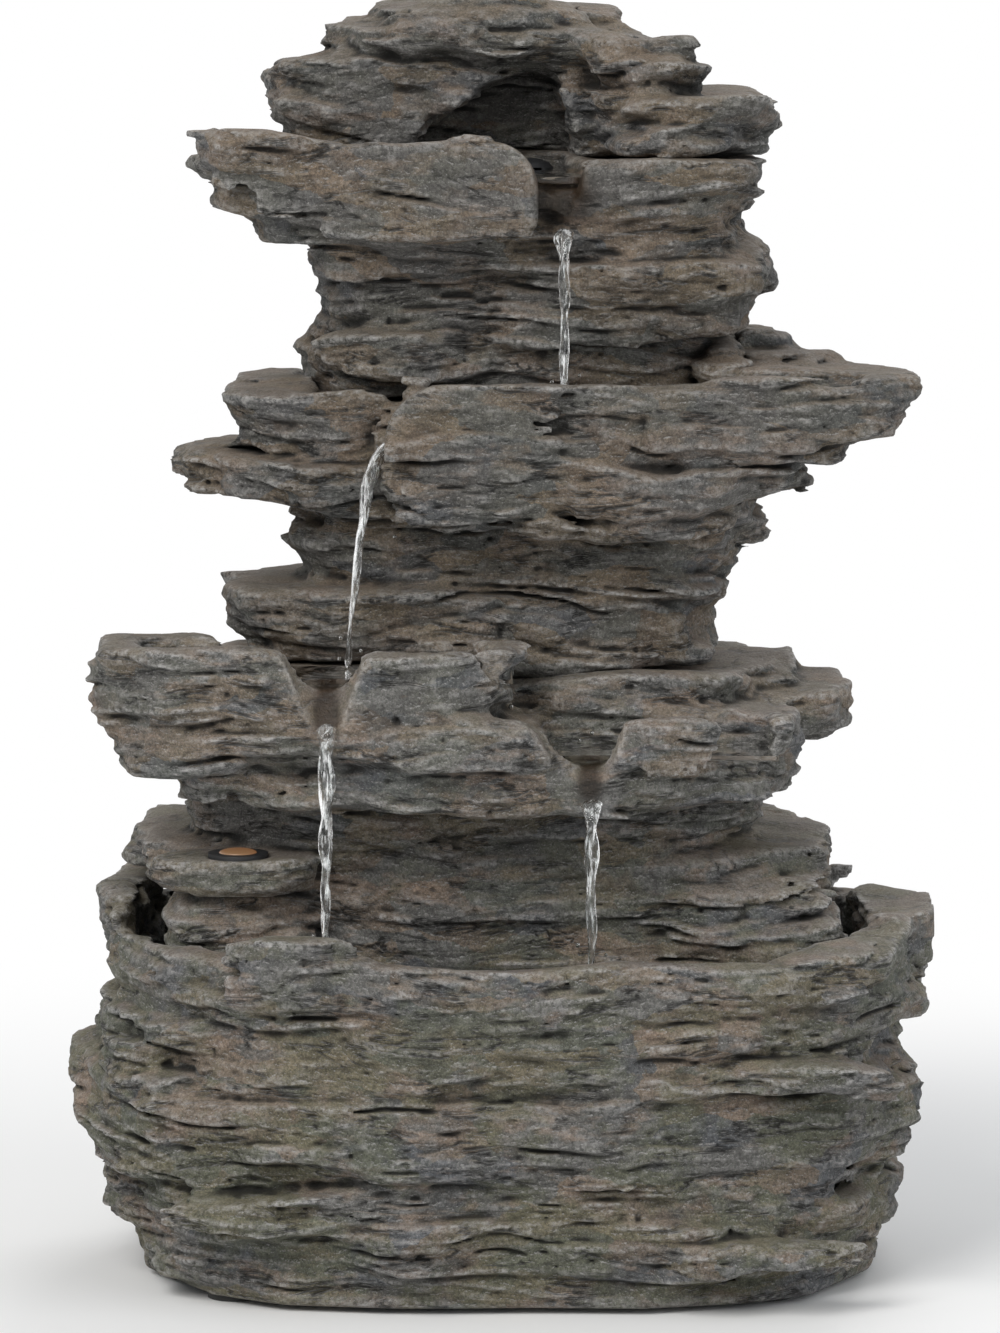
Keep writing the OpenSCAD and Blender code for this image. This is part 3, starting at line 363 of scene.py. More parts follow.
def nearCells(field, low, reach):  # cells within that many voxels of the surface, and their places in mm
    i, j, k = np.nonzero(np.abs(field) < reach * rock["voxel"])
    x, y, z = ((n + low[axis]) * rock["voxel"] for axis, n in enumerate((i, j, k)))
    return i, j, k, x, y, z / 2


def bendField(field, low):
    # each cell takes the value of a place a few mm away, which wanders slowly, and is softened upwards
    i, j, k, x, y, z = nearCells(field, low, rock["band"] - 0.1)
    still = calm(x, y, z)
    sideways, upwards = rock["bend"]
    size = rock["voxel"]
    field[i, j, k] = sampleGrid(field, np.column_stack([
        i + still * sideways / size * noise3(x / 31, y / 31 + 7, z / 24),
        j + still * sideways / size * noise3(x / 31 + 5, y / 31, z / 24),
        k + still * upwards * 2 / size * noise3(x / 44, y / 44, z / 37 + 3)]))
    for reach in (3, 2):
        field = boxBlur(field, reach, 2)
    return field


def carveRock(node, cuts=(), spouts=(), lumps=(), corner=None, rearRim=None, depth=1.0):
    # The casting's field is bent, rock is added, its surface moves by the relief, and it is meshed again.
    size = rock["voxel"]
    transform = vdb.createLinearTransform(voxelSize=size)
    field, low = fieldOf(node, transform)
    field = bendField(field, low)
    cells = np.meshgrid(*(np.arange(n) for n in field.shape), indexing="ij", sparse=True)
    x, y, z = ((n + low[axis]) * size for axis, n in enumerate(cells))
    for lump in lumps:              # rock that closes a gap or thickens a rim
        away = addedRock(x, y, z / 2, lump)
        if "hollow" in lump:        # it leaves the pool behind it open
            away = np.maximum(away, np.minimum(y - lump["hollow"][0], 2 * (z / 2 - lump["hollow"][1])))
        field = np.minimum(field, away.astype(np.float32))
    if rearRim:
        field = np.maximum(field, np.minimum(2 * (z / 2 - rearRim[1]), y - rearRim[0]).astype(np.float32))
    spare = np.maximum(-field, 0)   # the rock's depth, and its most within 8 mm across and 3 mm up or down
    for axis, reach in ((0, 5), (1, 5), (2, 4)):
        spare = windowMax(spare, reach, axis)
    slope = field[:, :, 2:] - field[:, :, :-2]
    i, j, k, x, y, z = nearCells(field, low, rock["band"] - 0.8)
    up = smoothStep(0.5, 1.7, slope[i, j, np.clip(k - 1, 0, slope.shape[2] - 1)] / size)   # 1 on tops
    beds, fine, holes = rockRelief(x, y, z)
    most, some = rock["worn"]
    moved = beds * (1 - most * up) + fine * (1 - some * up) + holes * (1 - some * up) - rock["shrink"]
    moved = moved * depth * calm(x, y, z)
    spare = spare[i, j, k]
    thin, share = rock["wall"]      # thin walls aren't cut through
    moved = np.where(spare > thin, np.maximum(moved, np.minimum(thin - share * spare, 0)), moved)
    field[i, j, k] -= moved.astype(np.float32)
    for cut in spouts:
        field[i, j, k] = np.maximum(field[i, j, k], spoutDepth(x, y, z, cut).astype(np.float32))
    if corner:                      # the rounded end of a front rim: outside an ellipse past its centre
        past = corner["side"] * (x - corner["at"][0])
        wide, high = corner["radii"]
        away = np.hypot(np.maximum(past, 0) / wide, np.maximum(z - corner["at"][1], 0) / high) - 1
        there = (past > 0) & (past < 1.6 * wide) & (y < corner["inFrontOf"])
        field[i, j, k] = np.maximum(field[i, j, k], np.where(there, away * high, -9).astype(np.float32))
    near = np.clip(0.5 - field / (2 * size), 0, 1)      # share of rock around a place, close by and wider
    wide = near
    for axis, reach in ((0, 1), (1, 1), (2, 2)):
        near = boxBlur(near, reach, axis)
    for axis, reach in ((0, 4), (1, 4), (2, 6)):
        wide = boxBlur(wide, reach, axis)
    made = []
    heights = [None, *cuts, None]
    for bottom, top in zip(heights, heights[1:]):
        piece = vdb.FloatGrid(rock["band"] * size)
        piece.transform = transform
        piece.copyFromArray(cutCourse(field, low, bottom, top), ijk=tuple(int(v) for v in low))
        verts, quads = piece.convertToQuads(isovalue=0.0)
        keep, quads = dropCrumbs(verts, quads[:, ::-1].astype(np.int64))
        verts = verts[keep]
        cells = verts / size - low
        verts = verts * [0.001, 0.001, 0.0005]
        made.append((verts, quads, sampleGrid(near, cells), sampleGrid(wide, cells)))
    print("fountain:", node, "carved,", [2 * len(q) for _, q, _, _ in made], "triangles")
    return made


def cutCourse(field, low, bottom, top):
    # the part of a field between two heights in the bedding, so that the joint falls along a bed
    if bottom is None and top is None:
        return field
    part = field.copy()
    size = rock["voxel"]
    roll = 26                       # no bed wanders further from its height than this, mm
    for height, side in ((bottom, -1), (top, 1)):
        if height is None:
            continue
        first = int(max((height - roll) * 2 / size - low[2], 0))
        last = int(min((height + roll) * 2 / size - low[2], field.shape[2]))
        i, j, k = np.meshgrid(*(np.arange(n) for n in field.shape[:2]), np.arange(first, last), indexing="ij")
        above = bedHeight((i + low[0]) * size, (j + low[1]) * size, (k + low[2]) * size / 2) - height
        if side < 0:                # the upper part runs on a little inside the lower one
            part[:, :, first:last] += rock["inset"] * smoothStep(0.1, -0.7, above).astype(np.float32)
            above = above + rock["overlap"]
        part[:, :, first:last] = np.maximum(part[:, :, first:last], side * 2 * above.astype(np.float32))
        if side < 0:
            part[:, :, :first] = rock["band"] * size
        else:
            part[:, :, last:] = rock["band"] * size
    return part


# where water keeps the rock wet: start, end and reach, mm
wetPaths = [
    ((10, -10, 354), (20, -50, 350), 15),
    ((20, -50, 348), (20, -60, 335), 6),
    ((-14, -53, 283), (-40, -53, 270), 8),
    ((-54, -70, 196), (-54, -88, 184), 6),
    ((28, -70, 172), (28, -88, 160), 6),
]


def addRockPiece(name, verts, quads, near, wide, material, body, spouts):
    # the mesh, with what its paint follows: hollows and edges from the share of rock around a place,
    # the wet from the distance to the water's paths, and the cheeks of the spouts
    verts = np.clip(verts, cadLow + 1e-5, cadHigh - 1e-5)
    mesh = bpy.data.meshes.new(name)
    mesh.vertices.add(len(verts))
    mesh.vertices.foreach_set("co", verts.astype(np.float32).ravel())
    mesh.loops.add(4 * len(quads))
    mesh.loops.foreach_set("vertex_index", quads.astype(np.int32).ravel())
    mesh.polygons.add(len(quads))
    mesh.polygons.foreach_set("loop_start", np.arange(0, 4 * len(quads), 4, dtype=np.int32))
    mesh.update(calc_edges=True)
    mesh.polygons.foreach_set("use_smooth", np.ones(len(quads), bool))
    x, y, z = 1000 * verts.T
    places = np.column_stack([x, y, z])
    wet, cheek = np.zeros(len(verts)), np.zeros(len(verts))
    for start, end, reach in wetPaths:
        start, end = np.array(start), np.array(end)
        along = np.clip((places - start) @ (end - start) / ((end - start) ** 2).sum(), 0, 1)
        away = np.linalg.norm(places - start - along[:, None] * (end - start), axis=1)
        wet = np.maximum(wet, smoothStep(reach, 0.4 * reach, away))
    for cut in spouts:
        cheek = np.maximum(cheek, smoothStep(-1.6, -0.5, spoutDepth(x, y, z, cut)))
    painted = {
        "cavity": np.clip((wide - 0.55) * 2.0 + (near - 0.525) * 3.6, 0, 1),
        "edge": np.clip((0.49 - near) * 4.2 + (0.5 - wide) * 0.8, 0, 1),
        "wet": wet,
        "cheek": cheek,
    }
    for key, values in painted.items():
        attribute = mesh.attributes.new(key, "FLOAT", "POINT")
        attribute.data.foreach_set("value", values.astype(np.float32))
    mesh.materials.append(material)
    obj = bpy.data.objects.new(name, mesh)
    scene.collection.objects.link(obj)
    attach(obj, body)
    return obj


paint = {
    # noises over the rock: size in mm, detail and roughness
    "noises": {
        "bend": (24, 4.0, 0.65),
        "broad": (48, 4.0, 0.6),
        "patch": (15, 4.0, 0.62),
        "speck": (0.75, 3.0, 0.8),
        "roll": (75, 1.0, 0.4),
        "moss": (26, 5.0, 0.65),
    },
    "patchStretch": (0.6, 0.6, 1.6),
    "bendBy": (22.0, 22.0, 12.0),   # how far the facets are bent, mm
    "rollBy": (0.0, 0.0, 17.0),     # how far the painted beds roll, mm
    "facet": (9, 0.36),             # height of a facet, mm, and how far it is squeezed sideways
    "facetShare": 0.36,             # how much of the coat's colour goes by facets, not by broad patches
    "steps": (0.32, 0.44, 0.53, 0.58, 0.67),    # where slate, grey, grey, brown and tan lie
    # noises in its relief: squeezed sideways by, size in mm, detail, roughness and bend
    "relief": {
        "fibres": (0.3, 3.0, 5.0, 0.72, 0.3),
        "grit": (0.75, 1.6, 4.0, 0.8, 0.0),
        "cracks": (0.17, 5.5, 4.0, 0.62, 0.5),
        "cracked": (0.5, 8.0, 2.0, 0.5, 0.0),
    },
    "stroke": 0.5,                  # height of a painted highlight or painted shadow, mm
}


def reliefHeight(tree, place):
    # the paint's view of the rock: fibres along the beds, short cracks in them, and stony grit
    noises = {}
    for key, (across, size, detail, roughness, bend) in paint["relief"].items():
        squeezed = addNode(tree, "Mapping", None, place, Scale=(across, across, 1.0))
        noises[key] = addNode(tree, "TexNoise", Vector=squeezed, Scale=1 / size, Detail=detail,
                              Roughness=roughness, Distortion=bend)
    away = addNode(tree, "Math", {"operation": "ABSOLUTE"}, addNode(tree, "Math", minus, noises["cracks"], 0.5))
    crack = addNode(tree, "MapRange", eased, away, 0.0, 0.03, 1.0, 0.0)
    where = addNode(tree, "MapRange", eased, noises["cracked"], 0.47, 0.6)
    crack = addNode(tree, "Math", times, crack, where)
    height = addNode(tree, "Math", plus, noises["fibres"], noises["grit"])
    height = addNode(tree, "Math", times, height, 1.2)
    height = addNode(tree, "Math", minus, height, addNode(tree, "Math", times, crack, 0.5))
    return height, crack, noises["grit"]


def castRockMaterial(name, tones):
    # Stone-filled polyester resin, cast in a rubber mould and painted by hand: a patchy base coat, a black wash with
    # painted shade over it in the hollows, pale paint dragged over the edges, and painted highlights and painted
    # shadows on small ledges. Matt, with a fine stony grain.
    material, tree = newMaterial(name)
    place = placeInMm(tree)
    noises = {}
    for key, (size, detail, roughness) in paint["noises"].items():
        where = placeInMm(tree, paint["patchStretch"]) if key == "patch" else place
        noises[key] = addNode(tree, "TexNoise", Vector=where, Scale=1 / size, Detail=detail,
                              Roughness=roughness).node.outputs
    cavity, edge, wet, cheek = (addNode(tree, "Attribute", {"attribute_name": key}, give="Fac")
                                for key in ("cavity", "edge", "wet", "cheek"))

    # tilted facets of one colour each
    size, across = paint["facet"]
    shift = {"operation": "MULTIPLY_ADD"}
    bent = addNode(tree, "VectorMath", shift, noises["bend"]["Color"], paint["bendBy"], place)
    flat = addNode(tree, "Mapping", None, bent, Scale=(across, across, 1.0))
    facets = addNode(tree, "TexVoronoi", {"feature": "F1"}, Vector=flat, Scale=1 / size, Randomness=1.0, give="Color")
    facet = addNode(tree, "SeparateColor", None, facets).node.outputs

    # the relief, and how far it falls from a place a little lower: above 0 on small upper edges
    rolling = addNode(tree, "VectorMath", shift, noises["roll"]["Color"], paint["rollBy"], place)
    height, crack, grit = reliefHeight(tree, rolling)
    lower = addNode(tree, "VectorMath", minus, rolling, (0.0, 0.0, paint["stroke"]))
    fall = addNode(tree, "Math", minus, reliefHeight(tree, lower)[0], height)
    normal = addNode(tree, "NewGeometry", give="Normal")
    top = addNode(tree, "MapRange", eased, addNode(tree, "SeparateXYZ", None, normal, give=2), 0.35, 0.9)
    plain = addNode(tree, "Math", highest, top, cheek)      # tops and cheeks of spouts are smoother
    rough = addNode(tree, "MapRange", None, plain, 0.0, 1.0, 1.0, 0.5)

    # the base coat, with pinkish patches, paler tops, and moss lower down
    share = paint["facetShare"]
    choice = addNode(tree, "Math", plus, addNode(tree, "Math", times, facet[0], share),
                     addNode(tree, "Math", times, noises["broad"][0], 1 - share))
    stops = list(zip(paint["steps"], (tones[key] for key in ("slate", "grey", "grey", "brown", "tan"))))
    coat = addNode(tree, "ValToRGB", {"stops": stops}, choice)
    pink = addNode(tree, "Math", plus, noises["patch"][0], addNode(tree, "Math", times, facet[1], 0.12))
    pink = addNode(tree, "ValToRGB", {"stops": [(0.60, 0), (0.70, 0.75)]}, pink)
    coat = addNode(tree, "Mix", paintOver, pink, in6=coat, in7=linear(tones["pink"]), give=2)
    paler = addNode(tree, "Math", times, plain, 0.62)
    coat = addNode(tree, "Mix", paintOver, paler, in6=coat, in7=linear(tones["top"]), give=2)
    level = addNode(tree, "SeparateXYZ", None, place, give=2)
    damp = addNode(tree, "MapRange", None, level, 190.0, 60.0, 0.2, 0.6)
    moss = addNode(tree, "Math", plus, noises["moss"][0], addNode(tree, "Math", times, facet[2], 0.14))
    moss = addNode(tree, "ValToRGB", {"stops": [(0.5, 0), (0.62, 1)]}, moss)
    moss = addNode(tree, "Math", times, moss, damp)
    coat = addNode(tree, "Mix", paintOver, moss, in6=coat, in7=linear(tones["moss"]), give=2)

    # stony specks, and less light in the hollows of the relief
    stony = addNode(tree, "ValToRGB", {"stops": [(0.34, 0.45), (0.5, 0.95), (0.68, 1.8)]}, noises["speck"][0])
    coat = addNode(tree, "Mix", tint, 0.7, in6=coat, in7=stony, give=2)
    hollow = addNode(tree, "MapRange", None, height, 0.85, 1.5, 0.42, 1.38)
    coat = addNode(tree, "Mix", tint, rough, in6=coat, in7=hollow, give=2)

    # pale paint dragged over edges, with painted highlights on small upper edges; painted shadow under them,
    # painted shade in cracks, and a black wash with painted shade over it in cavities
    # painted highlight on small upper edges
    pale = addNode(tree, "MapRange", eased, fall, 0.06, 0.3, 0.0, 0.6)
    pale = addNode(tree, "Math", times, pale, rough)
    dry = addNode(tree, "ValToRGB", {"stops": [(0.42, 0), (0.6, 1)]}, grit)
    dry = addNode(tree, "Math", times, edge, dry)
    pale = addNode(tree, "Math", {"operation": "ADD", "use_clamp": True}, pale, dry)
    coat = addNode(tree, "Mix", paintOver, pale, in6=coat, in7=linear(tones["brushAndHighlight"]), give=2)
    # painted shadow under small upper edges, and painted shade in cracks
    dark = addNode(tree, "MapRange", eased, fall, -0.08, -0.34, 0.0, 0.62)
    dark = addNode(tree, "Math", times, dark, rough)
    inCracks = addNode(tree, "Math", times, crack, addNode(tree, "Math", times, rough, 0.85))
    dark = addNode(tree, "Math", highest, dark, inCracks)
    # black wash with painted shade over it in cavities
    washedAndShaded = addNode(tree, "ValToRGB", {"stops": [(0.04, 0), (0.5, 0.8), (0.9, 0.96)]}, cavity)
    dark = addNode(tree, "Math", highest, dark, washedAndShaded)
    coat = addNode(tree, "Mix", paintOver, dark, in6=coat, in7=linear(tones["washAndShade"]), give=2)

    # wet rock is darker and glossier
    coat = addNode(tree, "Mix", tint, wet, in6=coat, in7=linear(tones["wet"]), give=2)
    gloss = addNode(tree, "MapRange", None, wet, 0.0, 1.0, 0.84, 0.34)
    bump = addNode(tree, "Bump", Height=noises["speck"][0], Strength=0.5, Distance=0.0005)
    strength = addNode(tree, "Math", times, rough, 0.9)
    bump = addNode(tree, "Bump", Height=height, Normal=bump, Strength=strength, Distance=0.0012)
    finishTree(tree, addNode(tree, "BsdfPrincipled", Base_Color=coat, Roughness=gloss, Normal=bump,
                             IOR=1.5, Specular_IOR_Level=0.35))
    return material


rockMaterials = {
    "rock_grey": castRockMaterial("painted cast resin slate, grey", {
        "grey": "#646360", "slate": "#57595c", "brown": "#6a6056", "tan": "#7b6f62", "pink": "#877668",
        "top": "#7e7266", "moss": "#5e6049", "brushAndHighlight": "#b2b0ae", "washAndShade": "#100f0d", "wet": "#7d7064"}),
    "rock_brown": castRockMaterial("painted cast resin slate, brown", {
        "grey": "#5b5956", "slate": "#4f5052", "brown": "#62574c", "tan": "#716456", "pink": "#776a5f",
        "top": "#776a5d", "moss": "#50523e", "brushAndHighlight": "#a5a3a0", "washAndShade": "#0e0d0b", "wet": "#7d7064"}),
}

# How each casting is carved, in mm. cuts: heights where it parts into courses. rearRim: behind the first
# value it is dressed down to the second. lumps: added rock, clear of a pool that begins behind hollow's
# first value and above its second. A spout's places are the middle of its lip, its inner and its outer
# end, its heights those of pool, lip and rim, and its halves the half widths of its cheeks at the rim.
castings = {
    "basin": {
        "cuts": (38, 76),
        "rearRim": (64, 117),
    },
    "lower_tier": {
        "cuts": (70, 110, 154),
        "lumps": (
            {"kind": "boulder", "centre": (-83, -34, 110), "radii": (24, 17, 22)},
            {"kind": "boulder", "centre": (76, -30, 110), "radii": (31, 17, 20)},
            {"kind": "wall", "line": ((46, -79), (64, -74)), "radius": 3.4, "heights": (169, 187)},
        ),
        "spouts": (
            {"places": (-54, -73.5, -87), "heights": (197, 180.5, 212), "halves": (16, 13.5)},
            {"places": (28.4, -73.5, -87), "heights": (173, 157.5, 190), "halves": (21, 11.5)},
        ),
    },
    "middle_tier": {
        "cuts": (250,),
        "lumps": (
            {"kind": "boulder", "centre": (-1, -47, 267), "radii": (34, 19.5, 23), "hollow": (-60, 283)},
            {"kind": "wall", "line": ((-33, -64), (16, -65)), "radius": 4.2, "heights": (268, 291.5),
             "hollow": (-60, 283)},
            {"kind": "wall", "line": ((50, -64.5), (93, -62)), "radius": 4.2, "heights": (270, 290.5)},
            {"kind": "wall", "line": ((92, -62), (116, -51)), "radius": 4.2, "heights": (274, 290)},
        ),
        "corner": {"side": -1, "at": (-15, 273), "radii": (21, 19), "inFrontOf": -58},
        "spouts": (
            {"leftwards": True, "places": (53, -20.5, -37), "heights": (283, 268.5, 295), "halves": (19, 11)},
        ),
    },
    "top_tier": {
        "cuts": (330,),
        "lumps": (
            {"kind": "bar", "line": ((70, -14, 292), (70, 52, 292)), "radius": 9.5},
            {"kind": "wall", "line": ((-88, -46), (-70, -51)), "radius": 4.4, "heights": (350, 366),
             "hollow": (-47.9, 352)},
            {"kind": "wall", "line": ((-74, -51), (-40, -52)), "radius": 4.4, "heights": (343, 366),
             "hollow": (-47.9, 352)},
            {"kind": "wall", "line": ((-52, -52), (8, -52.5)), "radius": 4.4, "heights": (336, 366),
             "hollow": (-47.9, 352)},
        ),
        "corner": {"side": 1, "at": (-3, 351), "radii": (15, 15.5), "inFrontOf": -46.5},
        "spouts": (
            {"places": (20, -44.5, -59), "heights": (352, 333.5, 372), "halves": (15, 8)},
        ),
    },
    "crown": {},
    "rear_door": {"depth": 0.25},
}
for nodeName, plan in castings.items():
    body = "rear_door" if nodeName == "rear_door" else "fountain"
    finish = "rock_grey" if nodeName in ("basin", "lower_tier", "rear_door") else "rock_brown"
    for index, arrays in enumerate(carveRock(nodeName, **plan)):
        piece = addRockPiece(nodeName + "_rock_" + "abcd"[index], *arrays, rockMaterials[finish], body,
                             plan.get("spouts", ()))
        if index == 0:
            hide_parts(nodeName)


# water
def addGrid(name, x, y, z, material, closedU=False, closedV=False):
    # a surface from three arrays over two parameters, row by row
    rows, columns = x.shape
    points = np.column_stack([x.ravel(), y.ravel(), z.ravel()])
    r = np.arange(rows if closedU else rows - 1)
    c = np.arange(columns if closedV else columns - 1)
    r, c = np.meshgrid(r, c, indexing="ij")
    r2, c2 = (r + 1) % rows, (c + 1) % columns
    corners = [r * columns + c, r2 * columns + c, r2 * columns + c2, r * columns + c2]
    faces = np.stack(corners, axis=-1).reshape(-1, 4)
    mesh = bpy.data.meshes.new(name)
    mesh.from_pydata(points, [], faces)
    mesh.polygons.foreach_set("use_smooth", np.ones(len(faces), bool))
    mesh.materials.append(material)
    mesh.update()
    obj = bpy.data.objects.new(name, mesh)
    scene.collection.objects.link(obj)
    return obj


def waterMaterial():
    # Fresh water: clear, with a smooth skin that mirrors the light
    material, tree = newMaterial("clear running water")
    ripple = addNode(tree, "TexNoise", Vector=placeInMm(tree), Scale=1 / 6, Detail=2.0, Roughness=0.5)
    bump = addNode(tree, "Bump", Height=ripple, Strength=0.35, Distance=0.0006)
    finishTree(tree, addNode(tree, "BsdfPrincipled", Base_Color=linear("#eef3f2"), Roughness=0.03,
                             Normal=bump, IOR=1.333, Transmission_Weight=1.0))
    return material


def fallingMaterial():
    # Falling water: clear strands with bright, airy streaks along them
    material, tree = newMaterial("falling water with fine bubbles")
    streaks = addNode(tree, "TexNoise", Vector=placeInMm(tree, (1.0, 1.0, 0.09)), Scale=1 / 1.1, Detail=3.0,
                      Roughness=0.6)
    beads = addNode(tree, "TexNoise", Vector=placeInMm(tree, (1.0, 1.0, 0.6)), Scale=1 / 2.6, Detail=3.0,
                    Roughness=0.7)
    airy = addNode(tree, "Math", plus, addNode(tree, "Math", times, streaks, 0.6),
                   addNode(tree, "Math", times, beads, 0.4))
    airy = addNode(tree, "ValToRGB", {"stops": [(0.52, 0), (0.64, 0.75)]}, airy)
    bump = addNode(tree, "Bump", Height=streaks, Strength=0.6, Distance=0.0008)
    clear = addNode(tree, "BsdfPrincipled", Base_Color=linear("#f4f7f7"), Roughness=0.04, Normal=bump,
                    IOR=1.333, Transmission_Weight=1.0)
    foam = addNode(tree, "BsdfPrincipled", Base_Color=linear("#eef0f0"), Roughness=0.35, Normal=bump)
    finishTree(tree, addNode(tree, "MixShader", None, airy, clear, foam))
    return material


water = waterMaterial()
falling = fallingMaterial()


def rippleHeight(x, y, falls):
    # the sum of rings round each fall, dying away outwards, and a slow swell, in mm
    height = 0.15 * noise3(x / 22, y / 22, 3)
    for fx, fy, strength in falls:
        r = np.hypot(x - fx, y - fy)
        height = height + strength * np.cos(r * 1.15) * np.exp(-r / 11)
    return height


def addPool(name, reach, level, falls, cells=(90, 40)):
    # a sheet of water: a closed flat loop in x and z, carried along y, whose top has the ripples
    left, right, front, back = reach
    u = np.linspace(0, 1, cells[0])
    v = np.linspace(0, 1, cells[1])
    x1, y1 = np.meshgrid(left + (right - left) * u, front + (back - front) * v)
    top = level + rippleHeight(x1, y1, falls)
    ends = np.minimum(1, 8 * np.minimum(v, 1 - v))[:, None]
    x = np.hstack([x1, x1[:, ::-1]])
    y = np.hstack([y1, y1[:, ::-1]])
    z = np.hstack([top, top[:, ::-1] - 2.2 * ends])
    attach(addGrid(name, x / 1000, y / 1000, z / 1000, water, closedV=True), "fountain")


def superOval(halfX, halfY, centreX, centreY, power, angle):
    # radius of a squared oval at an angle: each cosine and sine over its half width, to that power
    radius = (np.abs(np.cos(angle) / halfX) ** power + np.abs(np.sin(angle) / halfY) ** power) ** (-1 / power)
    return centreX + radius * np.cos(angle), centreY + radius * np.sin(angle)


def addRingPool(name, inner, outer, level, falls):
    # the basin's water: rings between the outline of the tower's foot and that of the basin, with a
    # flat underside, so that each ring of the section runs out on top and back below
    thick, out, back = 4.0, 26, 8
    angle = np.linspace(0, 2 * np.pi, 361)[:-1]
    share = np.concatenate([np.linspace(0, 1, out), np.linspace(1, 0, back)])
    below = np.concatenate([np.zeros(out), np.ones(back)])
    below[-1] = 0
    ix, iy = superOval(*inner, angle)
    ox, oy = superOval(*outer, angle)
    x = ix[None] + (ox - ix)[None] * share[:, None]
    y = iy[None] + (oy - iy)[None] * share[:, None]
    z = level + rippleHeight(x, y, falls) * (1 - below)[:, None] - thick * below[:, None]
    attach(addGrid(name, x / 1000, y / 1000, z / 1000, water, closedU=True, closedV=True), "fountain")


# reach: left, right, front and back. Each fall is a place and the height of its ripples, mm
pools = {
    "water_top": {"reach": (-87, 28, -49, -28), "level": 355.2, "falls": [(14, -34, 0.25)]},
    "water_cave": {"reach": (-8, 21, -30, 13), "level": 355.3, "falls": [(10, -2, 0.5)], "cells": (50, 40)},
    "water_middle": {"reach": (-26, 114, -60, -26), "level": 286.4, "falls": [(20, -57, 0.5), (-20, -53, 0.2)]},
    "water_left": {"reach": (-114, 4, -75, -42), "level": 200.4, "falls": [(-48, -53, 0.5)]},
    "water_right": {"reach": (12, 87, -75, -47), "level": 176.4, "falls": [(30, -60, 0.15)]},
}
# inner and outer: half widths, centre and power of the squared ovals
basinWater = {
    "inner": (95, 60, -5, 18.5, 4),
    "outer": (118, 88.5, 2.5, 1.9, 3.4),
    "level": 104.0,
    "falls": [(-54, -82.5, 0.7), (28.4, -82.5, 0.7)],
}
for name, pool in pools.items():
    addPool(name, **pool)
addRingPool("water_basin", **basinWater)


def smoothPath(points, count):
    # a path through the points: each coordinate is a cubic in the way along it, with matched slopes
    points = np.array(points, float)
    steps = np.concatenate([[0], np.cumsum(np.linalg.norm(np.diff(points, axis=0), axis=1))])
    slopes = np.gradient(points, steps, axis=0)
    at = np.linspace(0, steps[-1], count)
    i = np.clip(np.searchsorted(steps, at) - 1, 0, len(steps) - 2)
    span = (steps[i + 1] - steps[i])[:, None]
    t = ((at - steps[i])[:, None]) / span
    return ((2 * t ** 3 - 3 * t ** 2 + 1) * points[i] + (t ** 3 - 2 * t ** 2 + t) * span * slopes[i]
            + (-2 * t ** 3 + 3 * t ** 2) * points[i + 1] + (t ** 3 - t ** 2) * span * slopes[i + 1])


def addStream(name, points, widths, seed, across=(1, 0, 0), twist=0.32, flat=0.62):
    # Falling water: a closed section carried down a path. Its radius is the stream's half width times
    # two waves round it that turn as it falls, so strands wind round each other, plus a little noise.
    path = smoothPath(points, 150)
    way = np.linspace(0, 1, len(path))
    width = np.interp(way, np.linspace(0, 1, len(widths)), widths)
    angle = np.linspace(0, 2 * np.pi, 37)[:-1]
    u, a = np.meshgrid(way * np.linalg.norm(np.diff(path, axis=0), axis=1).sum(), angle, indexing="ij")
    strand = 1 + 0.26 * np.cos(2 * a - twist * u) + 0.12 * np.cos(3 * a + 0.5 * twist * u + seed)
    strand = strand + 0.22 * noise3(np.cos(a) * 1.3 + seed, np.sin(a) * 1.3, u / 5)
    ends = np.sqrt(np.clip(np.minimum(way, 1 - way) * 30, 0, 1))[:, None]
    radius = width[:, None] * strand * ends
    side = np.array(across, float)
    forward = np.gradient(path, axis=0)
    forward /= np.linalg.norm(forward, axis=1)[:, None]
    other = np.cross(forward, side)
    other /= np.linalg.norm(other, axis=1)[:, None]
    section = np.cos(a)[..., None] * side + flat * np.sin(a)[..., None] * other[:, None]
    points = path[:, None] + radius[..., None] * section
    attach(addGrid(name, *(points[..., i] / 1000 for i in range(3)), falling, closedV=True), "fountain")


# points down the fall, and its half widths from its start to its end, mm
streams = {
    "fall_top": {
        "points": [(20, -55, 339.5), (20, -58, 336.2), (20, -60, 331), (20.1, -60.4, 321), (20, -60.6, 305),
                   (20.2, -60.8, 287)],
        "widths": (3.0, 2.0, 1.5, 1.25, 1.15, 1.3, 1.6),
        "seed": 1,
    },
    "fall_middle": {
        "points": [(-31, -53, 273.4), (-36.5, -53, 269.8), (-40, -53, 263), (-42.5, -53, 251), (-45, -53, 232),
                   (-47, -53, 215), (-48, -53, 201)],
        "widths": (3.6, 3.0, 2.6, 2.2, 1.8, 1.5, 1.3, 1.2, 1.4),
        "seed": 2,
        "across": (0, 1, 0),
        "twist": 0.2,
        "flat": 0.7,
    },
    "fall_left": {
        "points": [(-54, -82, 187.4), (-54, -86.5, 182.4), (-54, -87.4, 176), (-54, -86.8, 150),
                   (-54.4, -85.2, 125), (-54.6, -83.6, 104)],
        "widths": (3.0, 2.2, 2.0, 1.7, 1.5, 1.2, 1.0, 1.3),
        "seed": 3,
    },
    "fall_right": {
        "points": [(28.4, -82, 163.4), (28.4, -86.5, 158.6), (28.4, -87.4, 152), (28.4, -86.6, 132),
                   (28.6, -85.2, 118), (28.5, -83.6, 104)],
        "widths": (3.0, 2.2, 1.8, 1.5, 1.4, 1.3, 1.2, 1.5),
        "seed": 4,
    },
}
for name, stream in streams.items():
    addStream(name, **stream)

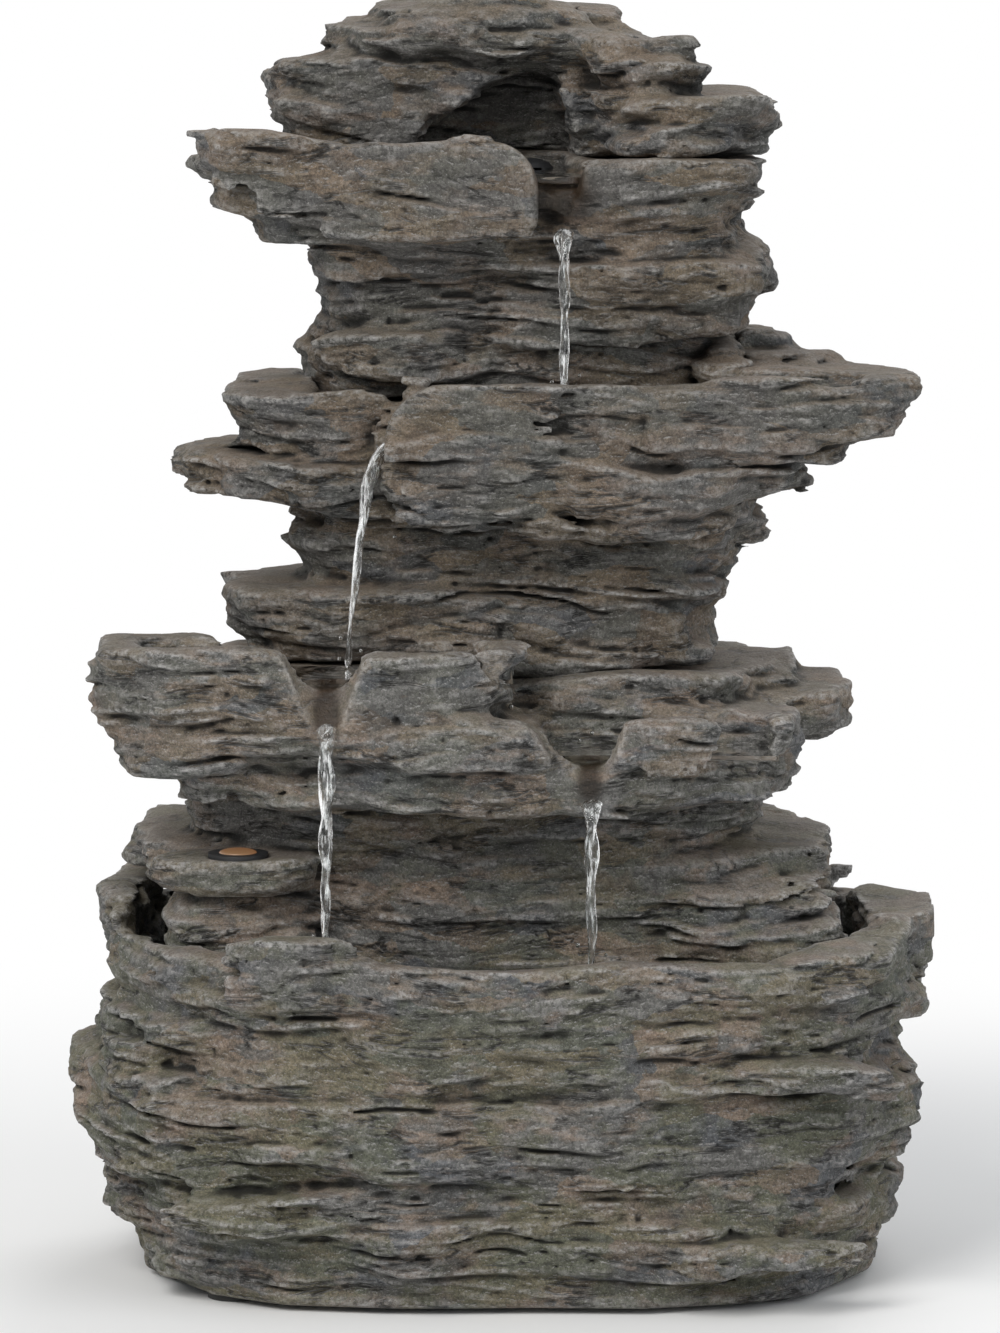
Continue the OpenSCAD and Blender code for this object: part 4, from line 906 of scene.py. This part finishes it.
# drops in the air round the falls: place and radius, mm
drops = [
    (-9.4, -56, 205.5, 0.7), (3.4, -62, 190, 0.8), (6.1, -63, 184, 0.6), (28.8, -64, 182, 0.6),
    (24.9, -66, 180, 0.5), (-50, -56, 211, 0.6), (-43.6, -56, 207, 0.6), (-50.5, -57, 204.6, 0.5),
    (-58, -84, 121, 0.6), (24.2, -84, 118, 0.7), (33, -84.5, 115, 0.5), (16.2, -59, 292, 0.6),
    (24.8, -59.4, 294, 0.5), (-33, -56, 243, 0.6),
]
theta, phi = np.meshgrid(np.linspace(0.0, np.pi, 9), np.linspace(0, 2 * np.pi, 13)[:-1], indexing="ij")
for index, (dx, dy, dz, size) in enumerate(drops):      # a sphere drawn out upwards a little at its top
    tall = 1 + 0.35 * np.clip(np.cos(theta), 0, 1) ** 2
    x = (dx + size * np.sin(theta) * np.cos(phi)) / 1000
    y = (dy - size * np.sin(theta) * np.sin(phi)) / 1000
    z = (dz + size * np.cos(theta) * tall) / 1000
    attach(addGrid("drop_%02d" % index, x, y, z, water, closedV=True), "fountain")
print("fountain: water made")


# fittings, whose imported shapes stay
def plainMaterial(name, colour, roughness, grain, depth, ior=1.5, metallic=0.0, transmission=0.0, glow=None):
    # Slightly uneven colour and gloss, and a grain of that size and depth in millimetres.
    material, tree = newMaterial(name)
    place = placeInMm(tree)
    fine = addNode(tree, "TexNoise", Vector=place, Scale=1 / grain, Detail=3.0, Roughness=0.6)
    cloudy = addNode(tree, "TexNoise", Vector=place, Scale=1 / 14, Detail=2.0, Roughness=0.5)
    base = linear(colour)
    dark = tuple(0.82 * c for c in base[:3]) + (1,)
    tone = addNode(tree, "ValToRGB", {"stops": [(0.35, dark), (0.65, base)]}, cloudy)
    gloss = addNode(tree, "MapRange", None, fine, 0.3, 0.7, max(roughness - 0.06, 0.02), roughness + 0.06)
    bump = addNode(tree, "Bump", Height=fine, Strength=0.5, Distance=depth / 1000)
    lit = {"Emission_Color": linear(glow[0]), "Emission_Strength": glow[1]} if glow else {}
    finishTree(tree, addNode(tree, "BsdfPrincipled", Base_Color=tone, Roughness=gloss, Normal=bump, IOR=ior,
                             Metallic=metallic, Transmission_Weight=transmission, **lit))
    return material


# dull and faintly sheeny
blackRubber = plainMaterial("moulded black rubber", "#232322", 0.62, 0.8, 0.03, ior=1.52)
# a fine even texture from the eroded mould
pumpPlastic = plainMaterial("moulded ABS, spark-eroded black", "#262729", 0.48, 0.6, 0.04, ior=1.53)
# smooth and a little waxy
dialPlastic = plainMaterial("moulded POM, grey", "#4a4e52", 0.36, 0.9, 0.01, ior=1.48)
whitePlastic = plainMaterial("moulded POM, natural white", "#e3e1da", 0.38, 0.9, 0.01, ior=1.48)
# dark grey with a dull gleam
ferrite = plainMaterial("sintered ferrite magnet", "#3c3b3d", 0.42, 0.5, 0.02, ior=1.9)
# white, glossy and very even
ceramic = plainMaterial("ground alumina ceramic", "#ebe8e0", 0.16, 0.3, 0.004, ior=1.76)
# see-through, with slow waves from the extruder
clearHose = plainMaterial("clear PVC hose", "#dfe6e2", 0.14, 4.0, 0.05, ior=1.53, transmission=0.85)
# bright metal with fine crystals
zincSteel = plainMaterial("zinc-plated spring steel", "#c3c6c8", 0.3, 0.4, 0.006, metallic=1.0)
# milky, with the lamp's glow behind it
frosted = plainMaterial("frosted polycarbonate lens, lit warm", "#94826a", 0.4, 0.5, 0.01, ior=1.58,
                        transmission=0.3, glow=("#ff9d45", 0.1))
fittings = {
    blackRubber: ("feet", "cord_grommet", "pump_seal", "suction_cups", "shaft_bushes"),
    pumpPlastic: ("pump_body", "chamber_cover", "intake_grille", "dial_rivet", "outlet_nozzle", "lamp_housings"),
    dialPlastic: ("flow_dial",),
    ferrite: ("rotor_magnet",),
    whitePlastic: ("impeller",),
    ceramic: ("rotor_shaft",),
    clearHose: ("riser_hose",),
    zincSteel: ("hose_clip",),
    frosted: ("lamp_lenses",),
}
for material, names in fittings.items():
    for name in names:
        slots = nodes[name].material_slots
        for slot in slots:
            slot.material = material
        if not slots:
            nodes[name].data.materials.append(material)
print("fountain: fittings finished")


# floor, backdrop and light
def seenDirectly(tree):  # 1 for what the camera sees, also in glass, water and metal, and 0 for the light
    rays = addNode(tree, "LightPath").node.outputs
    seen = addNode(tree, "Math", highest, rays["Is Camera Ray"], rays["Is Glossy Ray"])
    return addNode(tree, "Math", highest, seen, rays["Is Transmission Ray"])


def floorMaterial():
    # matt white paper sweep; far from the fountain it shows as even white to the camera, glass and water
    material, tree = newMaterial("white paper sweep")
    seen = seenDirectly(tree)
    place = addNode(tree, "TexCoord", give="Object")
    distance = addNode(tree, "VectorMath", {"operation": "LENGTH"}, place, give="Value")
    away = addNode(tree, "MapRange", eased, distance, 0.2, 0.6)
    paper = addNode(tree, "BsdfDiffuse", Color=(0.93, 0.93, 0.93, 1))
    white = addNode(tree, "Emission", Color=(1, 1, 1, 1), Strength=1.0)
    finishTree(tree, addNode(tree, "MixShader", None, addNode(tree, "Math", times, seen, away), paper, white))
    return material


def whiteWorld():
    # even white where it is seen, and a weaker, slightly cool light on the fountain
    world = bpy.data.worlds.new("studio")
    world.use_nodes = True
    tree = world.node_tree
    tree.nodes.clear()
    soft = addNode(tree, "Background", Color=(0.96, 0.98, 1.0, 1), Strength=0.43)
    plain = addNode(tree, "Background", Color=(1, 1, 1, 1), Strength=1.0)
    mixed = addNode(tree, "MixShader", None, seenDirectly(tree), soft, plain)
    finishTree(tree, mixed, "ShaderNodeOutputWorld")
    return world


share, angle = np.meshgrid(np.linspace(0.0, 1.0, 24) ** 2, np.linspace(0, 2 * np.pi, 65), indexing="ij")
radius = share * 6      # 6 m of floor, with finer rings near the fountain
floor = addGrid("floor", radius * np.cos(angle), radius * np.sin(angle), np.zeros_like(radius), floorMaterial())
floor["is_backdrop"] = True
scene.world = whiteWorld()

lights = {
    "key": {"place": (-0.75, -1.35, 1.25), "size": 0.9, "power": 24, "colour": (1.0, 0.985, 0.96)},
    "fill": {"place": (1.3, -1.0, 0.75), "size": 1.2, "power": 7.5, "colour": (0.96, 0.98, 1.0)},
    "back": {"place": (0.5, 1.4, 1.3), "size": 1.0, "power": 12, "colour": (1.0, 1.0, 1.0)},
}
for name, light in lights.items():      # each points at the middle of the fountain
    data = bpy.data.lights.new(name, "AREA")
    data.size = light["size"]
    data.energy = light["power"]
    data.color = light["colour"]
    lamp = bpy.data.objects.new(name, data)
    lamp.location = light["place"]
    lamp.rotation_euler = (Vector((0, 0, 0.2)) - lamp.location).to_track_quat("-Z", "Y").to_euler()
    scene.collection.objects.link(lamp)

scene.view_settings.view_transform = "Standard"
